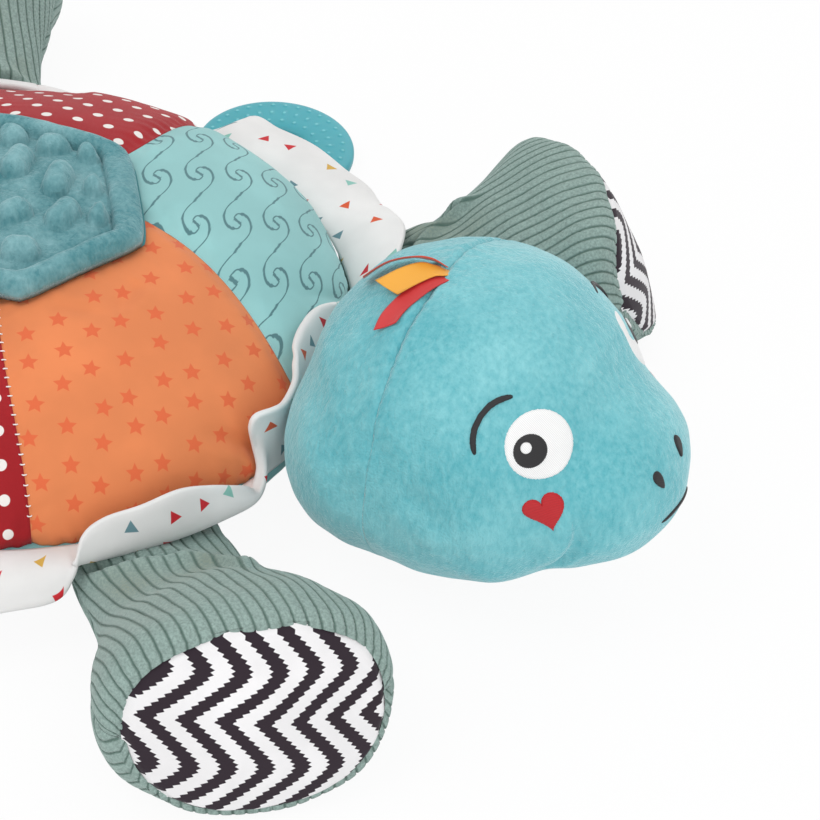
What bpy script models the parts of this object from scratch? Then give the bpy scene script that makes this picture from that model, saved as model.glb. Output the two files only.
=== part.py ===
# Plush turtle: a stuffed patchwork shell with a peekaboo flap, a ruffle, a head,
# four corduroy legs, ribbon tufts and a teether ring on a strap.
# The frame stands on the floor under the middle of the shell. The head points to +X,
# the toy's left is +Y and up is +Z. All sizes are in metres.

from math import acos, asin, atan2, copysign, cos, hypot, pi, radians, sin, sqrt

import bmesh
import bpy
from mathutils import Matrix, Vector
from mathutils.bvhtree import BVHTree

mm = 0.001

# Cloth and clearances shared by every stuffed piece
skin = 0.9 * mm
seam_gap = 0.4 * mm
rim_gap = 0.9 * mm
stuffing_gap = 0.4 * mm
seat_gap = 0.5 * mm

# Shell
shell_radius = 146 * mm
rim_height = 28 * mm
dome_rise = 60 * mm
base_radius = 118 * mm
seam_depth = 3 * mm
pattern_turn = radians(3)
panel_count = 6
top_apothem = 50.5 * mm

# Flap over the middle of the shell
flap_apothem = 54.5 * mm
flap_hem = 9 * mm
flap_pad = 6.5 * mm
lining_thick = 1.2 * mm
flap_gap = 0.8 * mm
flap_corner_trim = 0.05
# Round the hem from its inner edge: shares of its width, across and up
hem_shares = [(0.26, 0.97), (0.71, 0.90), (1.00, 0.50), (0.71, 0.10), (0.39, 0.00)]

# Ruffle round the rim
ruffle_thick = 2.2 * mm
ruffle_seat = 0.6 * mm + ruffle_thick / 2
ruffle_width = 34 * mm
ruffle_drop = 12 * mm
ruffle_wave = 3.2 * mm
ruffle_waves = 17
ruffle_arch_width = 20 * mm
ruffle_arch_height = 16 * mm
ruffle_arch_rise = 35 * mm
collar_height = 26 * mm
collar_lean = 10 * mm
collar_middle_share = 0.6
arch_full, arch_fade = radians(12), radians(26)
collar_full, collar_fade = radians(22), radians(30)

# Legs: the hinge is the seam at the rim
hinge_height = 24 * mm
root_bead = 1.6 * mm
foot_half_width = 54 * mm
foot_rise = 55 * mm
foot_clearance = 0.8 * mm
sole_bulge = 4 * mm
leg_squareness = 0.87
# The stuffing lies differently in each leg, so lengths differ and the soles face round and up
legs = {
    "front_right": {"heading": radians(-41.5), "length": 117 * mm, "turn": 0.18, "lean": 0.34},
    "front_left": {"heading": radians(34), "length": 127 * mm, "turn": 0.08, "lean": 0.5},
    "rear_right": {"heading": radians(-126), "length": 118 * mm, "turn": 0, "lean": 0.3},
    "rear_left": {"heading": radians(126), "length": 118 * mm, "turn": 0, "lean": 0.3},
}

# Head, turned a little to the toy's right as it lies
neck_radius = 12.5 * mm
neck_height = 18 * mm
neck_rise = radians(41)
head_turn = radians(-8.2)
cranium = (67 * mm, 66 * mm, 62 * mm)
muzzle = (39 * mm, 42 * mm, 36 * mm)
muzzle_forward = 51 * mm
muzzle_drop = 8 * mm
cheek = (38 * mm, 36 * mm, 32 * mm)
cheek_forward = 16 * mm
cheek_side = 27 * mm
cheek_drop = 19 * mm
jowl = (41 * mm, 38 * mm, 36 * mm)
jowl_back = 21 * mm
jowl_side = 32 * mm
jowl_drop = 17 * mm
lobe_blend = 11
seam_polar = radians(106)
seam_lean = radians(14)

# Embroidery on the face
stitch_gap = 0.8 * mm
stitch_thick = 0.5 * mm
eye_radius = 13.7 * mm
pupil_radius = 6.7 * mm
pupil_back = 4.0 * mm
pupil_down = 1.6 * mm
glint_radius = 2.2 * mm
glint_shift = 1.7 * mm
brow_radius = 16.8 * mm
brow_half_width = 1.4 * mm
brow_back = 9.6 * mm
brow_up = 3.8 * mm
heart_half_width = 8.6 * mm
nostril_length = 3.2 * mm
nostril_half_width = 2.2 * mm
mouth_radius = 11 * mm
mouth_half_width = 0.8 * mm
arc_end_roundness = 0.4
arc_edge_roundness = 0.7
# Latitude and longitude on the head, as seen from its middle
eye_place = (radians(25.4), radians(40))
heart_place = (radians(2), radians(40.6))
nostril_place = (radians(7), radians(6.6))
mouth_place = (radians(-7), radians(0))
heart_tilt = radians(28)
brow_sweep = (radians(84), radians(194))
mouth_sweep = (radians(-132), radians(-48))

# Ribbon tufts
ribbon_width = 11 * mm
ribbon_thick = 0.6 * mm
ribbon_clear = 0.5 * mm
ribbon_root = 4 * mm
ribbons = {
    "ribbon_red": {"layer": 0, "fan": radians(40), "length": 42 * mm, "lift": 2 * mm},
    "ribbon_yellow": {"layer": 1, "fan": radians(8), "length": 36 * mm, "lift": 5 * mm},
    "ribbon_orange": {"layer": 2, "fan": radians(-16), "length": 40 * mm, "lift": 9 * mm},
}

# Teether
ring_radius = 39 * mm
ring_hole = 15 * mm
ring_thick = 8 * mm
ring_heading = radians(78)
ring_squareness = 0.6
strap_width = 12 * mm
strap_thick = 0.9 * mm
strap_gap = 0.4 * mm
strap_reach = 3.4 * mm
strap_clearance = 0.5 * mm
strap_corner = 1.6 * mm
weld_gap = 0.01 * mm

# Mesh density
shell_segments = 36
gore_steps = 6
flap_segments = 24
ruffle_segments = 84
leg_segments = 16
neck_segments = 16
head_segments = 24
stitch_segments = 16
ring_segments = 28
ring_section_segments = 10

colours = {
    "head_plush": (0.14, 0.52, 0.58, 1),
    "flap_plush": (0.08, 0.28, 0.33, 1),
    "corduroy": (0.22, 0.38, 0.33, 1),
    "star_cotton": (0.83, 0.25, 0.10, 1),
    "wave_cotton": (0.26, 0.58, 0.58, 1),
    "dot_cotton": (0.40, 0.01, 0.02, 1),
    "ruffle_cotton": (0.86, 0.85, 0.84, 1),
    "belly_cotton": (0.30, 0.56, 0.56, 1),
    "zigzag_cotton": (0.75, 0.74, 0.73, 1),
    "white_stitch": (0.88, 0.88, 0.88, 1),
    "black_stitch": (0.01, 0.01, 0.01, 1),
    "red_stitch": (0.55, 0.01, 0.02, 1),
    "ribbon_yellow": (0.82, 0.36, 0.02, 1),
    "ribbon_red": (0.60, 0.01, 0.01, 1),
    "ribbon_orange": (0.66, 0.05, 0.01, 1),
    "teether_rubber": (0.07, 0.38, 0.44, 1),
    "fibre_filling": (0.90, 0.90, 0.88, 1),
}
cloth_roughness = 0.9
smoother = {"teether_rubber": 0.35, "ribbon_yellow": 0.4, "ribbon_red": 0.4, "ribbon_orange": 0.4}

parts = None
materials = {}


def clear_scene():
    for item in list(bpy.data.objects):
        bpy.data.objects.remove(item, do_unlink=True)


def make_materials():
    for name, colour in colours.items():
        material = bpy.data.materials.new(name)
        material.use_nodes = True
        shader = material.node_tree.nodes["Principled BSDF"]
        shader.inputs["Base Color"].default_value = colour
        shader.inputs["Roughness"].default_value = smoother.get(name, cloth_roughness)
        shader.inputs["Metallic"].default_value = 0.0
        materials[name] = material


def place_empty(name, location, turn=0, parent=None):
    empty = bpy.data.objects.new(name, None)
    empty.location = location
    empty.rotation_euler = (0, 0, turn)
    empty.parent = parent
    parts.objects.link(empty)
    return empty


def add_part(name, form, material, parent=None, thickness=0, offset=-1):
    """Turns a bmesh into a named part; a thickness makes its open surface a skin."""
    mesh = bpy.data.meshes.new(name)
    form.to_mesh(mesh)
    form.free()
    mesh.shade_smooth()
    mesh.materials.append(materials[material])
    part = bpy.data.objects.new(name, mesh)
    part.parent = parent
    parts.objects.link(part)
    if thickness:
        cloth = part.modifiers.new("cloth", "SOLIDIFY")
        cloth.thickness = thickness
        cloth.offset = offset
    return part


def ringed_form(rings, segments, place, open_start=False, open_end=False):
    """A sphere whose rings of vertices are placed anew, ring by ring."""
    form = bmesh.new()
    steps = len(rings) - 1 + open_start + open_end
    bmesh.ops.create_uvsphere(form, u_segments=segments, v_segments=steps, radius=1)
    spare = []
    for vertex in form.verts:
        polar = acos(max(-1, min(1, vertex.co.z)))
        ring = round(polar / pi * steps) - open_start
        azimuth = atan2(vertex.co.y, vertex.co.x)
        if 0 <= ring < len(rings):
            vertex.co = place(rings[ring], azimuth)
        else:
            spare.append(vertex)
    bmesh.ops.delete(form, geom=spare, context="VERTS")
    form.normal_update()
    return form


def grid_form(across, along, place):
    """A flat grid whose vertices are placed by two shares that run from -1 to 1."""
    form = bmesh.new()
    bmesh.ops.create_grid(form, x_segments=across, y_segments=along, size=1)
    for vertex in form.verts:
        vertex.co = place(vertex.co.x, vertex.co.y)
    form.normal_update()
    return form


def shrink(form, distance):
    """Moves every face of a closed form inwards by the same distance."""
    moved = [v.co - v.normal * distance * v.calc_shell_factor() for v in form.verts]
    for vertex, place in zip(form.verts, moved):
        vertex.co = place
    return form


def smooth_step(value):
    value = max(0, min(1, value))
    return value * value * (3 - 2 * value)


def signed_power(value, power):
    return copysign(abs(value) ** power, value)


# Shell


def panel_share(azimuth):
    """Where an azimuth lies across its panel, from -1 at one seam to 1 at the next."""
    span = 2 * pi / panel_count
    return 2 * (((azimuth - pattern_turn) % span) / span) - 1


def hexagon_radius(apothem, azimuth, trim=0):
    across = panel_share(azimuth)
    corner = 1 - trim * abs(across) ** panel_count
    return apothem / cos(across * pi / panel_count) * corner


def dome_point(radius, azimuth, inset=0, lift=0):
    share = min(1, radius / shell_radius)
    outer = (shell_radius - inset) * share
    height = rim_height + (dome_rise - inset) * sqrt(1 - share * share) + lift
    return Vector((outer * cos(azimuth), outer * sin(azimuth), height))


def dome_height(radius):
    return dome_point(radius, 0).z


def bowl_point(share, azimuth, inset=0):
    """Lower half of the body, from the rim at 0 to the edge of the flat base at 1."""
    swing = share * pi / 2
    outer = base_radius + (shell_radius - inset - base_radius) * cos(swing)
    height = inset + (rim_height - inset) * (1 - sin(swing))
    return Vector((outer * cos(azimuth), outer * sin(azimuth), height))


def rim_radius(height):
    """How far the lower half of the body reaches at a height under the rim."""
    return base_radius + (shell_radius - base_radius) * sqrt(1 - (1 - height / rim_height) ** 2)


def make_shell():
    inset = skin + stuffing_gap + seam_depth

    def filling_place(share, azimuth):
        """From the top at 0 over the rim at 1 to the edge of the base at 2."""
        if share > 2:
            return Vector((0, 0, inset))
        if share > 1:
            return bowl_point(share - 1, azimuth, inset)
        return dome_point(shell_radius * sin(share * pi / 2), azimuth, inset)

    filling_shares = [k / 5 for k in range(6)] + [1 + k / 3 for k in range(1, 4)] + [3]
    filling = ringed_form(filling_shares, shell_segments, filling_place)
    add_part("shell_filling", filling, "fibre_filling")

    def belly_place(share, azimuth):
        """From the rim at 0 to the edge of the base at 1 and its middle at 2."""
        if share > 1:
            flat = (2 - share) * base_radius
            return Vector((flat * cos(azimuth), flat * sin(azimuth), 0))
        point = bowl_point(share, azimuth)
        if share == 0:
            point.z -= rim_gap / 2
        return point

    belly_shares = [0, 0.1, 0.23, 0.42, 0.67, 1, 1.5, 2]
    belly = ringed_form(belly_shares, shell_segments, belly_place, open_start=True)
    add_part("belly_panel", belly, "belly_cotton", thickness=skin)


def make_panel(name, index, material):
    half_span = pi / panel_count
    middle = pattern_turn + (2 * index + 1) * half_span

    def place(across, up):
        azimuth = middle + across * half_span
        inner = asin((hexagon_radius(top_apothem, azimuth) + seam_gap / 2) / shell_radius)
        down = (1 - up) / 2
        radius = shell_radius * sin(inner + down * (pi / 2 - inner))
        azimuth -= across * asin(seam_gap / 2 / radius)
        return dome_point(radius, azimuth, seam_depth * across ** 4, rim_gap / 2 * down ** 4)

    add_part(name, grid_form(gore_steps, gore_steps, place), material, thickness=skin)


def make_top_panel():
    def place(share, azimuth):
        radius = share * (hexagon_radius(top_apothem, azimuth) - seam_gap / 2)
        return dome_point(radius, azimuth, seam_depth * share ** 6 * panel_share(azimuth) ** 4)

    form = ringed_form([0, 0.4, 0.75, 1], flap_segments, place, open_end=True)
    add_part("shell_top_panel", form, "belly_cotton", thickness=skin)


# Flap


def flap_hinge():
    """Middle of the round hem along the flap's far edge, which turns in its seam."""
    azimuth = pattern_turn + pi / 2
    bead = flap_hem / 2
    reach = flap_apothem - bead
    height = dome_height(flap_apothem) + flap_gap + bead
    return Vector((reach * cos(azimuth), reach * sin(azimuth), height)), azimuth


def make_flap():
    hinge, azimuth = flap_hinge()
    empty = place_empty("flap_hinge", hinge, azimuth)
    inverse = Matrix.Rotation(-azimuth, 4, "Z") @ Matrix.Translation(-hinge)
    room = lining_thick + stuffing_gap

    def place(ring, turn):
        share, height = ring
        radius = share * hexagon_radius(flap_apothem, turn, flap_corner_trim)
        return inverse @ dome_point(radius, turn, 0, flap_gap + height)

    def across_hem(share):
        return 1 - (1 - share) * flap_hem / flap_apothem

    top_rings = [(0, flap_pad), (0.5, flap_pad), (across_hem(-0.32), flap_pad)]
    top_rings += [(across_hem(share), flap_hem * up) for share, up in hem_shares]
    top_rings += [(across_hem(0), room), (0.5, room), (0, room)]
    add_part("flap_top", ringed_form(top_rings, flap_segments, place), "flap_plush", empty)

    edge = across_hem(0) - seat_gap / flap_apothem
    lining_rings = [(0, lining_thick), (0.5, lining_thick), (edge, lining_thick),
                    (edge, 0), (0.5, 0), (0, 0)]
    add_part("flap_lining", ringed_form(lining_rings, flap_segments, place), "belly_cotton", empty)


# Ruffle


def nearness(azimuth, heading, full, fade):
    away = abs((azimuth - heading + pi) % (2 * pi) - pi)
    return 1 - smooth_step((away - full) / (fade - full))


def ruffle_point(share, azimuth):
    """The ruffle lies out round the sides, arches over the legs and stands at the neck."""
    start = Vector((shell_radius + ruffle_seat, rim_height + ruffle_thick / 2))
    shapes = {
        "flat": (Vector((shell_radius + ruffle_width / 2, rim_height + ruffle_thick)),
                 Vector((shell_radius + ruffle_width, rim_height - ruffle_drop))),
        "arch": (Vector((shell_radius, rim_height + ruffle_arch_rise)),
                 Vector((shell_radius + ruffle_arch_width, rim_height + ruffle_arch_height))),
        "collar": (Vector((shell_radius + seat_gap, rim_height
                           + collar_height * collar_middle_share)),
                   Vector((shell_radius - collar_lean, rim_height + collar_height))),
    }
    over_leg = max(nearness(azimuth, leg["heading"], arch_full, arch_fade) for leg in legs.values())
    at_neck = nearness(azimuth, head_turn, collar_full, collar_fade)
    total = max(1, over_leg + at_neck)
    weights = {"arch": over_leg / total, "collar": at_neck / total}
    weights["flat"] = 1 - weights["arch"] - weights["collar"]
    middle = sum((shapes[k][0] * w for k, w in weights.items()), Vector((0, 0)))
    end = sum((shapes[k][1] * w for k, w in weights.items()), Vector((0, 0)))
    spot = start * (1 - share) ** 2 + middle * 2 * share * (1 - share) + end * share * share
    wave = ruffle_wave * share * weights["flat"] * sin(ruffle_waves * azimuth)
    return Vector((spot.x * cos(azimuth), spot.x * sin(azimuth), spot.y + wave))


def make_ruffle():
    shares = [0, 0.33, 0.67, 1]
    form = ringed_form(shares, ruffle_segments, ruffle_point, open_start=True, open_end=True)
    add_part("ruffle", form, "ruffle_cotton", thickness=ruffle_thick, offset=0)


# Legs

# Along the leg: share of its length, of the foot's half width, of the drop and of the rise
leg_shares = [
    (0.000, 0.59, 0.067, 0.025), (0.065, 0.60, 0.38, 0.08), (0.165, 0.61, 0.67, 0.15),
    (0.245, 0.61, 0.82, 0.25), (0.39, 0.65, 0.93, 0.43), (0.57, 0.80, 0.99, 0.72),
    (0.78, 0.97, 1.00, 0.94), (0.92, 1.00, 1.00, 1.00), (1.00, 0.93, 0.90, 0.98),
]


def hinge_radius():
    return rim_radius(hinge_height) + seat_gap + root_bead


def leg_point(shape, row, azimuth, across=1, bulge=0):
    length, width, drop, rise = row
    low = -drop * (hinge_height - foot_clearance)
    high = rise * foot_rise
    side = width * foot_half_width * signed_power(cos(azimuth), leg_squareness)
    up = (low + high) / 2 + across * (high - low) / 2 * signed_power(sin(azimuth), leg_squareness)
    mean = foot_rise / 2 - hinge_height / 2
    slant = shape["lean"] * (mean - up) + shape["turn"] * side * across
    out = length * shape["length"] + slant * length ** 3 + bulge
    return Vector((out, side * across, up))


def make_leg(name, shape):
    reach, heading = hinge_radius(), shape["heading"]
    empty = place_empty(name + "_hinge", (reach * cos(heading), reach * sin(heading), hinge_height),
                        heading)
    edge = leg_shares[-1]

    def place(ring, azimuth):
        if ring == "root":
            return Vector((-root_bead, 0, 0))
        if ring == "filling root":
            return Vector((leg_shares[1][0] * shape["length"] / 2, 0, 0))
        if isinstance(ring, float):
            return leg_point(shape, edge, azimuth, ring, sole_bulge * (1 - ring * ring))
        return leg_point(shape, ring, azimuth)

    rows = leg_shares[::-1]
    cover = ringed_form(rows + ["root"], leg_segments, place, open_start=True)
    add_part(name + "_cover", cover, "corduroy", empty, skin)

    height = leg_point(shape, edge, pi / 2) - leg_point(shape, edge, -pi / 2)
    tucked = 1 - (skin + seam_gap) / (height.length / 2)
    sole = ringed_form([0.0, 0.5, tucked], leg_segments, place, open_end=True)
    add_part(name + "_sole", sole, "zigzag_cotton", empty, skin)

    filling = ringed_form([0.0, 0.5] + rows[:-1] + ["filling root"], leg_segments, place)
    add_part(name + "_filling", shrink(filling, skin + stuffing_gap), "fibre_filling", empty)


# Head


def lobe_distance(ray, centre, radii):
    """How far a ray from the head's middle runs to the far side of one lobe."""
    a = sum((d / r) ** 2 for d, r in zip(ray, radii))
    b = sum(d * c / r ** 2 for d, c, r in zip(ray, centre, radii))
    c = sum((m / r) ** 2 for m, r in zip(centre, radii)) - 1
    inside = b * b - a * c
    return max(0, (b + sqrt(inside)) / a) if inside > 0 else 0


def head_distance(ray):
    lobes = [
        ((0, 0, 0), cranium), ((muzzle_forward, 0, -muzzle_drop), muzzle),
        ((cheek_forward, cheek_side, -cheek_drop), cheek),
        ((cheek_forward, -cheek_side, -cheek_drop), cheek),
        ((-jowl_back, jowl_side, -jowl_drop), jowl), ((-jowl_back, -jowl_side, -jowl_drop), jowl),
    ]
    total = sum((lobe_distance(ray, centre, radii) / shell_radius) ** lobe_blend
                for centre, radii in lobes)
    return shell_radius * total ** (1 / lobe_blend)


def neck_centre():
    return Vector((rim_radius(neck_height) + seat_gap + neck_radius, 0, neck_height))


def head_centre():
    """The head's middle, seen from the neck."""
    away = Vector((cos(neck_rise), 0, sin(neck_rise)))
    return away * (head_distance(-away) + seat_gap + neck_radius)


def head_point(ring, azimuth):
    """A ring share of 1 is the seam behind the face, and 2 is the back of the head."""
    seam = seam_polar + seam_lean * (1 - sin(azimuth))
    polar = seam * ring if ring <= 1 else seam + (pi - seam) * (ring - 1)
    ray = Vector((cos(polar), sin(polar) * cos(azimuth), sin(polar) * sin(azimuth)))
    return head_centre() + ray * head_distance(ray)


def make_head(neck):
    half_gap = seam_gap / 2 / (seam_polar * cranium[0])
    front_rings = [k / 8 for k in range(9)]
    back_rings = [1 + k / 5 for k in range(6)]
    front = ringed_form(front_rings[:-1] + [1 - half_gap], head_segments, head_point, open_end=True)
    add_part("head_front_cover", front, "head_plush", neck, skin)
    back = ringed_form([1 + 2 * half_gap] + back_rings[1:], head_segments, head_point,
                       open_start=True)
    add_part("head_back_cover", back, "head_plush", neck, skin)
    filling = ringed_form(front_rings + back_rings[1:], head_segments, head_point)
    facets = BVHTree.FromBMesh(filling)
    add_part("head_filling", shrink(filling, skin + stuffing_gap), "fibre_filling", neck)
    return facets


def make_neck(empty):
    bpy.ops.mesh.primitive_uv_sphere_add(segments=neck_segments, ring_count=neck_segments // 2,
                                         radius=neck_radius)
    stub = bpy.context.object
    stub.data.shade_smooth()
    stub.name = stub.data.name = "neck_stub"
    stub.data.materials.append(materials["head_plush"])
    for holder in list(stub.users_collection):
        holder.objects.unlink(stub)
    parts.objects.link(stub)
    stub.parent = empty


# Face

stitch_profile_shares = [(0, 1), (0.7, 1), (1, 0.6), (0.97, 0), (0.66, 0), (0.33, 0), (0, 0)]


def ray_at(latitude, longitude):
    return Vector((cos(latitude) * cos(longitude), cos(latitude) * sin(longitude), sin(latitude)))


def outer_distance(facets, ray):
    """How far out the facets of the head lie along a ray."""
    hit = facets.ray_cast(head_centre() + ray * shell_radius, -ray)
    return (hit[0] - head_centre()).length


def add_stitching(name, head, side, seat, outline, material, layer=0):
    """A thin embroidered patch on the head; side is -1 on the toy's right, 1 on its left."""
    neck, facets = head
    latitude, longitude = seat
    middle = ray_at(latitude, -longitude)
    forward = Vector((sin(longitude), cos(longitude), 0))
    upward = middle.cross(forward)
    spot = middle * head_distance(middle)

    def place(ring, azimuth):
        across, thick = ring
        along, over = outline(across, azimuth)
        ray = (spot + forward * along + upward * over).normalized()
        height = stitch_gap + layer * (stitch_gap + stitch_thick) + thick * stitch_thick
        point = head_centre() + ray * (outer_distance(facets, ray) + height)
        return Vector((point.x, -side * point.y, point.z))

    form = ringed_form(stitch_profile_shares, stitch_segments, place)
    bmesh.ops.recalc_face_normals(form, faces=form.faces)
    add_part(name, form, material, neck)


def disc(radius, shift=(0, 0), length=1):
    def outline(share, azimuth):
        return (shift[0] + share * radius * length * cos(azimuth),
                shift[1] + share * radius * sin(azimuth))
    return outline


def heart(half_width, tilt):
    """A heart from a smooth formula, turned so that its tip leans forward."""
    def outline(share, azimuth):
        along = half_width * sin(azimuth) ** 3 * share
        over = half_width / 16 * share * (
            13 * cos(azimuth) - 5 * cos(2 * azimuth) - 2 * cos(3 * azimuth) - cos(4 * azimuth))
        return (along * cos(tilt) - over * sin(tilt), along * sin(tilt) + over * cos(tilt))
    return outline


def arc(radius, half_width, centre, sweep):
    start, end = sweep

    def outline(share, azimuth):
        along = share * signed_power(cos(azimuth), arc_end_roundness)
        turn = (start + end) / 2 + (end - start) / 2 * along
        reach = radius + half_width * share * signed_power(sin(azimuth), arc_edge_roundness)
        return (centre[0] + reach * cos(turn), centre[1] + reach * sin(turn))
    return outline


def make_face(head):
    pupil = (-pupil_back, -pupil_down)
    glint = (-pupil_back - glint_shift, -pupil_down + glint_shift)
    brow = (-brow_back, brow_up)
    narrow = nostril_half_width / nostril_length
    for label, side in (("right", -1), ("left", 1)):
        add_stitching("eye_white_" + label, head, side, eye_place,
                      disc(eye_radius), "white_stitch")
        add_stitching("eye_pupil_" + label, head, side, eye_place,
                      disc(pupil_radius, pupil), "black_stitch", 1)
        add_stitching("eye_glint_" + label, head, side, eye_place,
                      disc(glint_radius, glint), "white_stitch", 2)
        add_stitching("brow_" + label, head, side, eye_place,
                      arc(brow_radius, brow_half_width, brow, brow_sweep), "black_stitch")
        add_stitching("cheek_heart_" + label, head, side, heart_place,
                      heart(heart_half_width, heart_tilt), "red_stitch")
        add_stitching("nostril_" + label, head, side, nostril_place,
                      disc(nostril_length, (0, 0), narrow), "black_stitch")
    add_stitching("mouth_stitch", head, -1, mouth_place,
                  arc(mouth_radius, mouth_half_width, (0, mouth_radius), mouth_sweep),
                  "black_stitch")


# Ribbon tufts


def over_head(across, back, clear):
    """A point over the head's top, so far across and so far back from the seam."""
    seam = Vector((cos(seam_polar), 0, sin(seam_polar)))
    swing = Matrix.Rotation(-back / cranium[0], 3, "Y")
    ray = (swing @ seam + Vector((0, across / cranium[1], 0))).normalized()
    return head_centre() + ray * (head_distance(ray) + clear)


def make_ribbon(name, seam, shape):
    """One end of each ribbon is caught in the seam, and they fan out on one another."""
    fan = shape["fan"]
    level = ribbon_clear + ribbon_thick / 2 + shape["layer"] * (ribbon_clear + ribbon_thick)

    def place(across, along):
        run = (1 + along) / 2 * shape["length"]
        sideways = across * ribbon_width / 2
        lift = level + shape["lift"] * smooth_step((1 + along) / 2)
        point = over_head(sideways * cos(fan) - run * sin(fan),
                          ribbon_root + run * cos(fan) + sideways * sin(fan), lift)
        return point - seam.location

    add_part(name, grid_form(2, 8, place), name, seam, ribbon_thick, 0)


# Teether


def make_teether():
    bead = root_bead / 2
    reach = rim_radius(hinge_height) + seat_gap + bead
    hinge = place_empty("teether_hinge",
                        (reach * cos(ring_heading), reach * sin(ring_heading), hinge_height),
                        ring_heading)
    ring_x = strap_reach + ring_radius
    low = strap_clearance + strap_thick + strap_gap - hinge_height
    ring_z = low + ring_thick / 2
    ring_empty = place_empty("teether_ring_axis", (ring_x, 0, ring_z), 0, hinge)

    middle = (ring_radius + ring_hole) / 2
    half_band = (ring_radius - ring_hole) / 2
    bpy.ops.mesh.primitive_torus_add(major_segments=ring_segments,
                                     minor_segments=ring_section_segments,
                                     major_radius=middle, minor_radius=ring_thick / 2)
    ring = bpy.context.object
    for vertex in ring.data.vertices:
        x, y, z = vertex.co
        turn = atan2(y, x)
        section = atan2(z, hypot(x, y) - middle)
        outer = middle + half_band * signed_power(cos(section), ring_squareness)
        vertex.co = (outer * cos(turn), outer * sin(turn),
                     ring_thick / 2 * signed_power(sin(section), ring_squareness))
    ring.name = ring.data.name = "teether_ring"
    ring.data.shade_smooth()
    ring.data.materials.append(materials["teether_rubber"])
    for holder in list(ring.users_collection):
        holder.objects.unlink(ring)
    parts.objects.link(ring)
    ring.parent = ring_empty

    left = strap_reach - strap_gap
    right = ring_x - sqrt(ring_hole ** 2 - (strap_width / 2) ** 2) + strap_gap
    bottom, top = low - strap_gap, low + ring_thick + strap_gap
    inner = corner_cut(left, right, bottom, top, strap_corner)
    outer = corner_cut(left - strap_thick, right + strap_thick, bottom - strap_thick,
                       top + strap_thick, strap_corner)
    tab = [(left - strap_thick + 2 * bead, top + strap_thick), (bead, bead), (-bead, bead),
           (left - strap_thick, top)]
    outer = outer[:-2] + tab
    strap = flat_outline("teether_strap", [outer, inner], strap_width, "wave_cotton")
    strap.parent = hinge
    strap.rotation_euler = (pi / 2, 0, 0)


def corner_cut(left, right, bottom, top, cut):
    """A box outline with cut corners, run round from its lower left."""
    return [(left, bottom + cut), (left + cut, bottom), (right - cut, bottom), (right, bottom + cut),
            (right, top - cut), (right - cut, top), (left + cut, top), (left, top - cut)]


def flat_outline(name, outlines, width, material):
    curve = bpy.data.curves.new(name, "CURVE")
    curve.dimensions = "2D"
    curve.fill_mode = "BOTH"
    curve.extrude = width / 2
    for points in outlines:
        spline = curve.splines.new("POLY")
        spline.points.add(len(points) - 1)
        for point, (x, y) in zip(spline.points, points):
            point.co = (x, y, 0, 1)
        spline.use_cyclic_u = True
    curve.materials.append(materials[material])
    outline = bpy.data.objects.new(name, curve)
    parts.objects.link(outline)
    weld = outline.modifiers.new("weld", "WELD")
    weld.merge_threshold = weld_gap
    return outline


def main():
    global parts
    clear_scene()
    parts = bpy.data.collections.new("plush_turtle")
    bpy.context.scene.collection.children.link(parts)
    make_materials()
    make_shell()
    panels = [("shell_panel_front_left", "wave_cotton"), ("shell_panel_left", "dot_cotton"),
              ("shell_panel_rear_left", "star_cotton"), ("shell_panel_rear_right", "wave_cotton"),
              ("shell_panel_right", "dot_cotton"), ("shell_panel_front_right", "star_cotton")]
    for index, (name, material) in enumerate(panels):
        make_panel(name, index, material)
    make_top_panel()
    make_flap()
    make_ruffle()
    for name, shape in legs.items():
        make_leg(name, shape)
    neck = place_empty("neck_joint", neck_centre(), head_turn)
    make_neck(neck)
    facets = make_head(neck)
    make_face((neck, facets))
    tuft = place_empty("tuft_seam", over_head(0, 0, ribbon_clear), 0, neck)
    for name, shape in ribbons.items():
        make_ribbon(name, tuft, shape)
    make_teether()
    bpy.context.view_layer.update()
    for item in parts.objects:
        if item.type == "EMPTY":
            print(item.name, [round(v, 6) for v in item.matrix_world.translation])


main()
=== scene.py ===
import bmesh
import bpy
import numpy as np
from mathutils import Matrix, Vector


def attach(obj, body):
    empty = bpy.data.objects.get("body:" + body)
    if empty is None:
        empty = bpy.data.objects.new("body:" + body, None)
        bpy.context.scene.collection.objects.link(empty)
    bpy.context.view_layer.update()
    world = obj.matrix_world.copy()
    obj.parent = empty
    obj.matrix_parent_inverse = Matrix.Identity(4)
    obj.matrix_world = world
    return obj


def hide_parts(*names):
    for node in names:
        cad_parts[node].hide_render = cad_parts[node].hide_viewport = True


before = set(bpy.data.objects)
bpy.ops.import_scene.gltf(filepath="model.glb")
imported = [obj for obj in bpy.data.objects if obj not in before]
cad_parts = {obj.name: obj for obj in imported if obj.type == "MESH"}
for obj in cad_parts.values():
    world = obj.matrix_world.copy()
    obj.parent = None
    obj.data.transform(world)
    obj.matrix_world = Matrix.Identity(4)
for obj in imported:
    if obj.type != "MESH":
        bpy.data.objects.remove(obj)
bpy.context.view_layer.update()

mm = 0.001
pi = np.pi

# Shapes are worked out in millimetres and degrees, and become metres in the mesh.


def smoothStep(value):
    value = np.clip(value, 0, 1)
    return value * value * (3 - 2 * value)


def signedPower(value, power):
    return np.sign(value) * np.abs(value) ** power


def bell(distance, width):
    # 1 on the line, and down to nothing about two widths away
    return np.exp(-(distance / width) ** 2)


def softNoise(seed, size, *axes):
    # A sum of eight waves in fixed directions, about size long, from -1 to 1
    draw = np.random.RandomState(seed)
    total = 0
    for _ in range(8):
        way = draw.normal(size=len(axes))
        way /= np.linalg.norm(way)
        stretch = draw.uniform(0.7, 1.6)
        wave = sum(w * a for w, a in zip(way, axes))
        total = total + np.sin(2 * pi * wave / size * stretch + draw.uniform(0, 2 * pi))
    return total / 4.5


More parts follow.
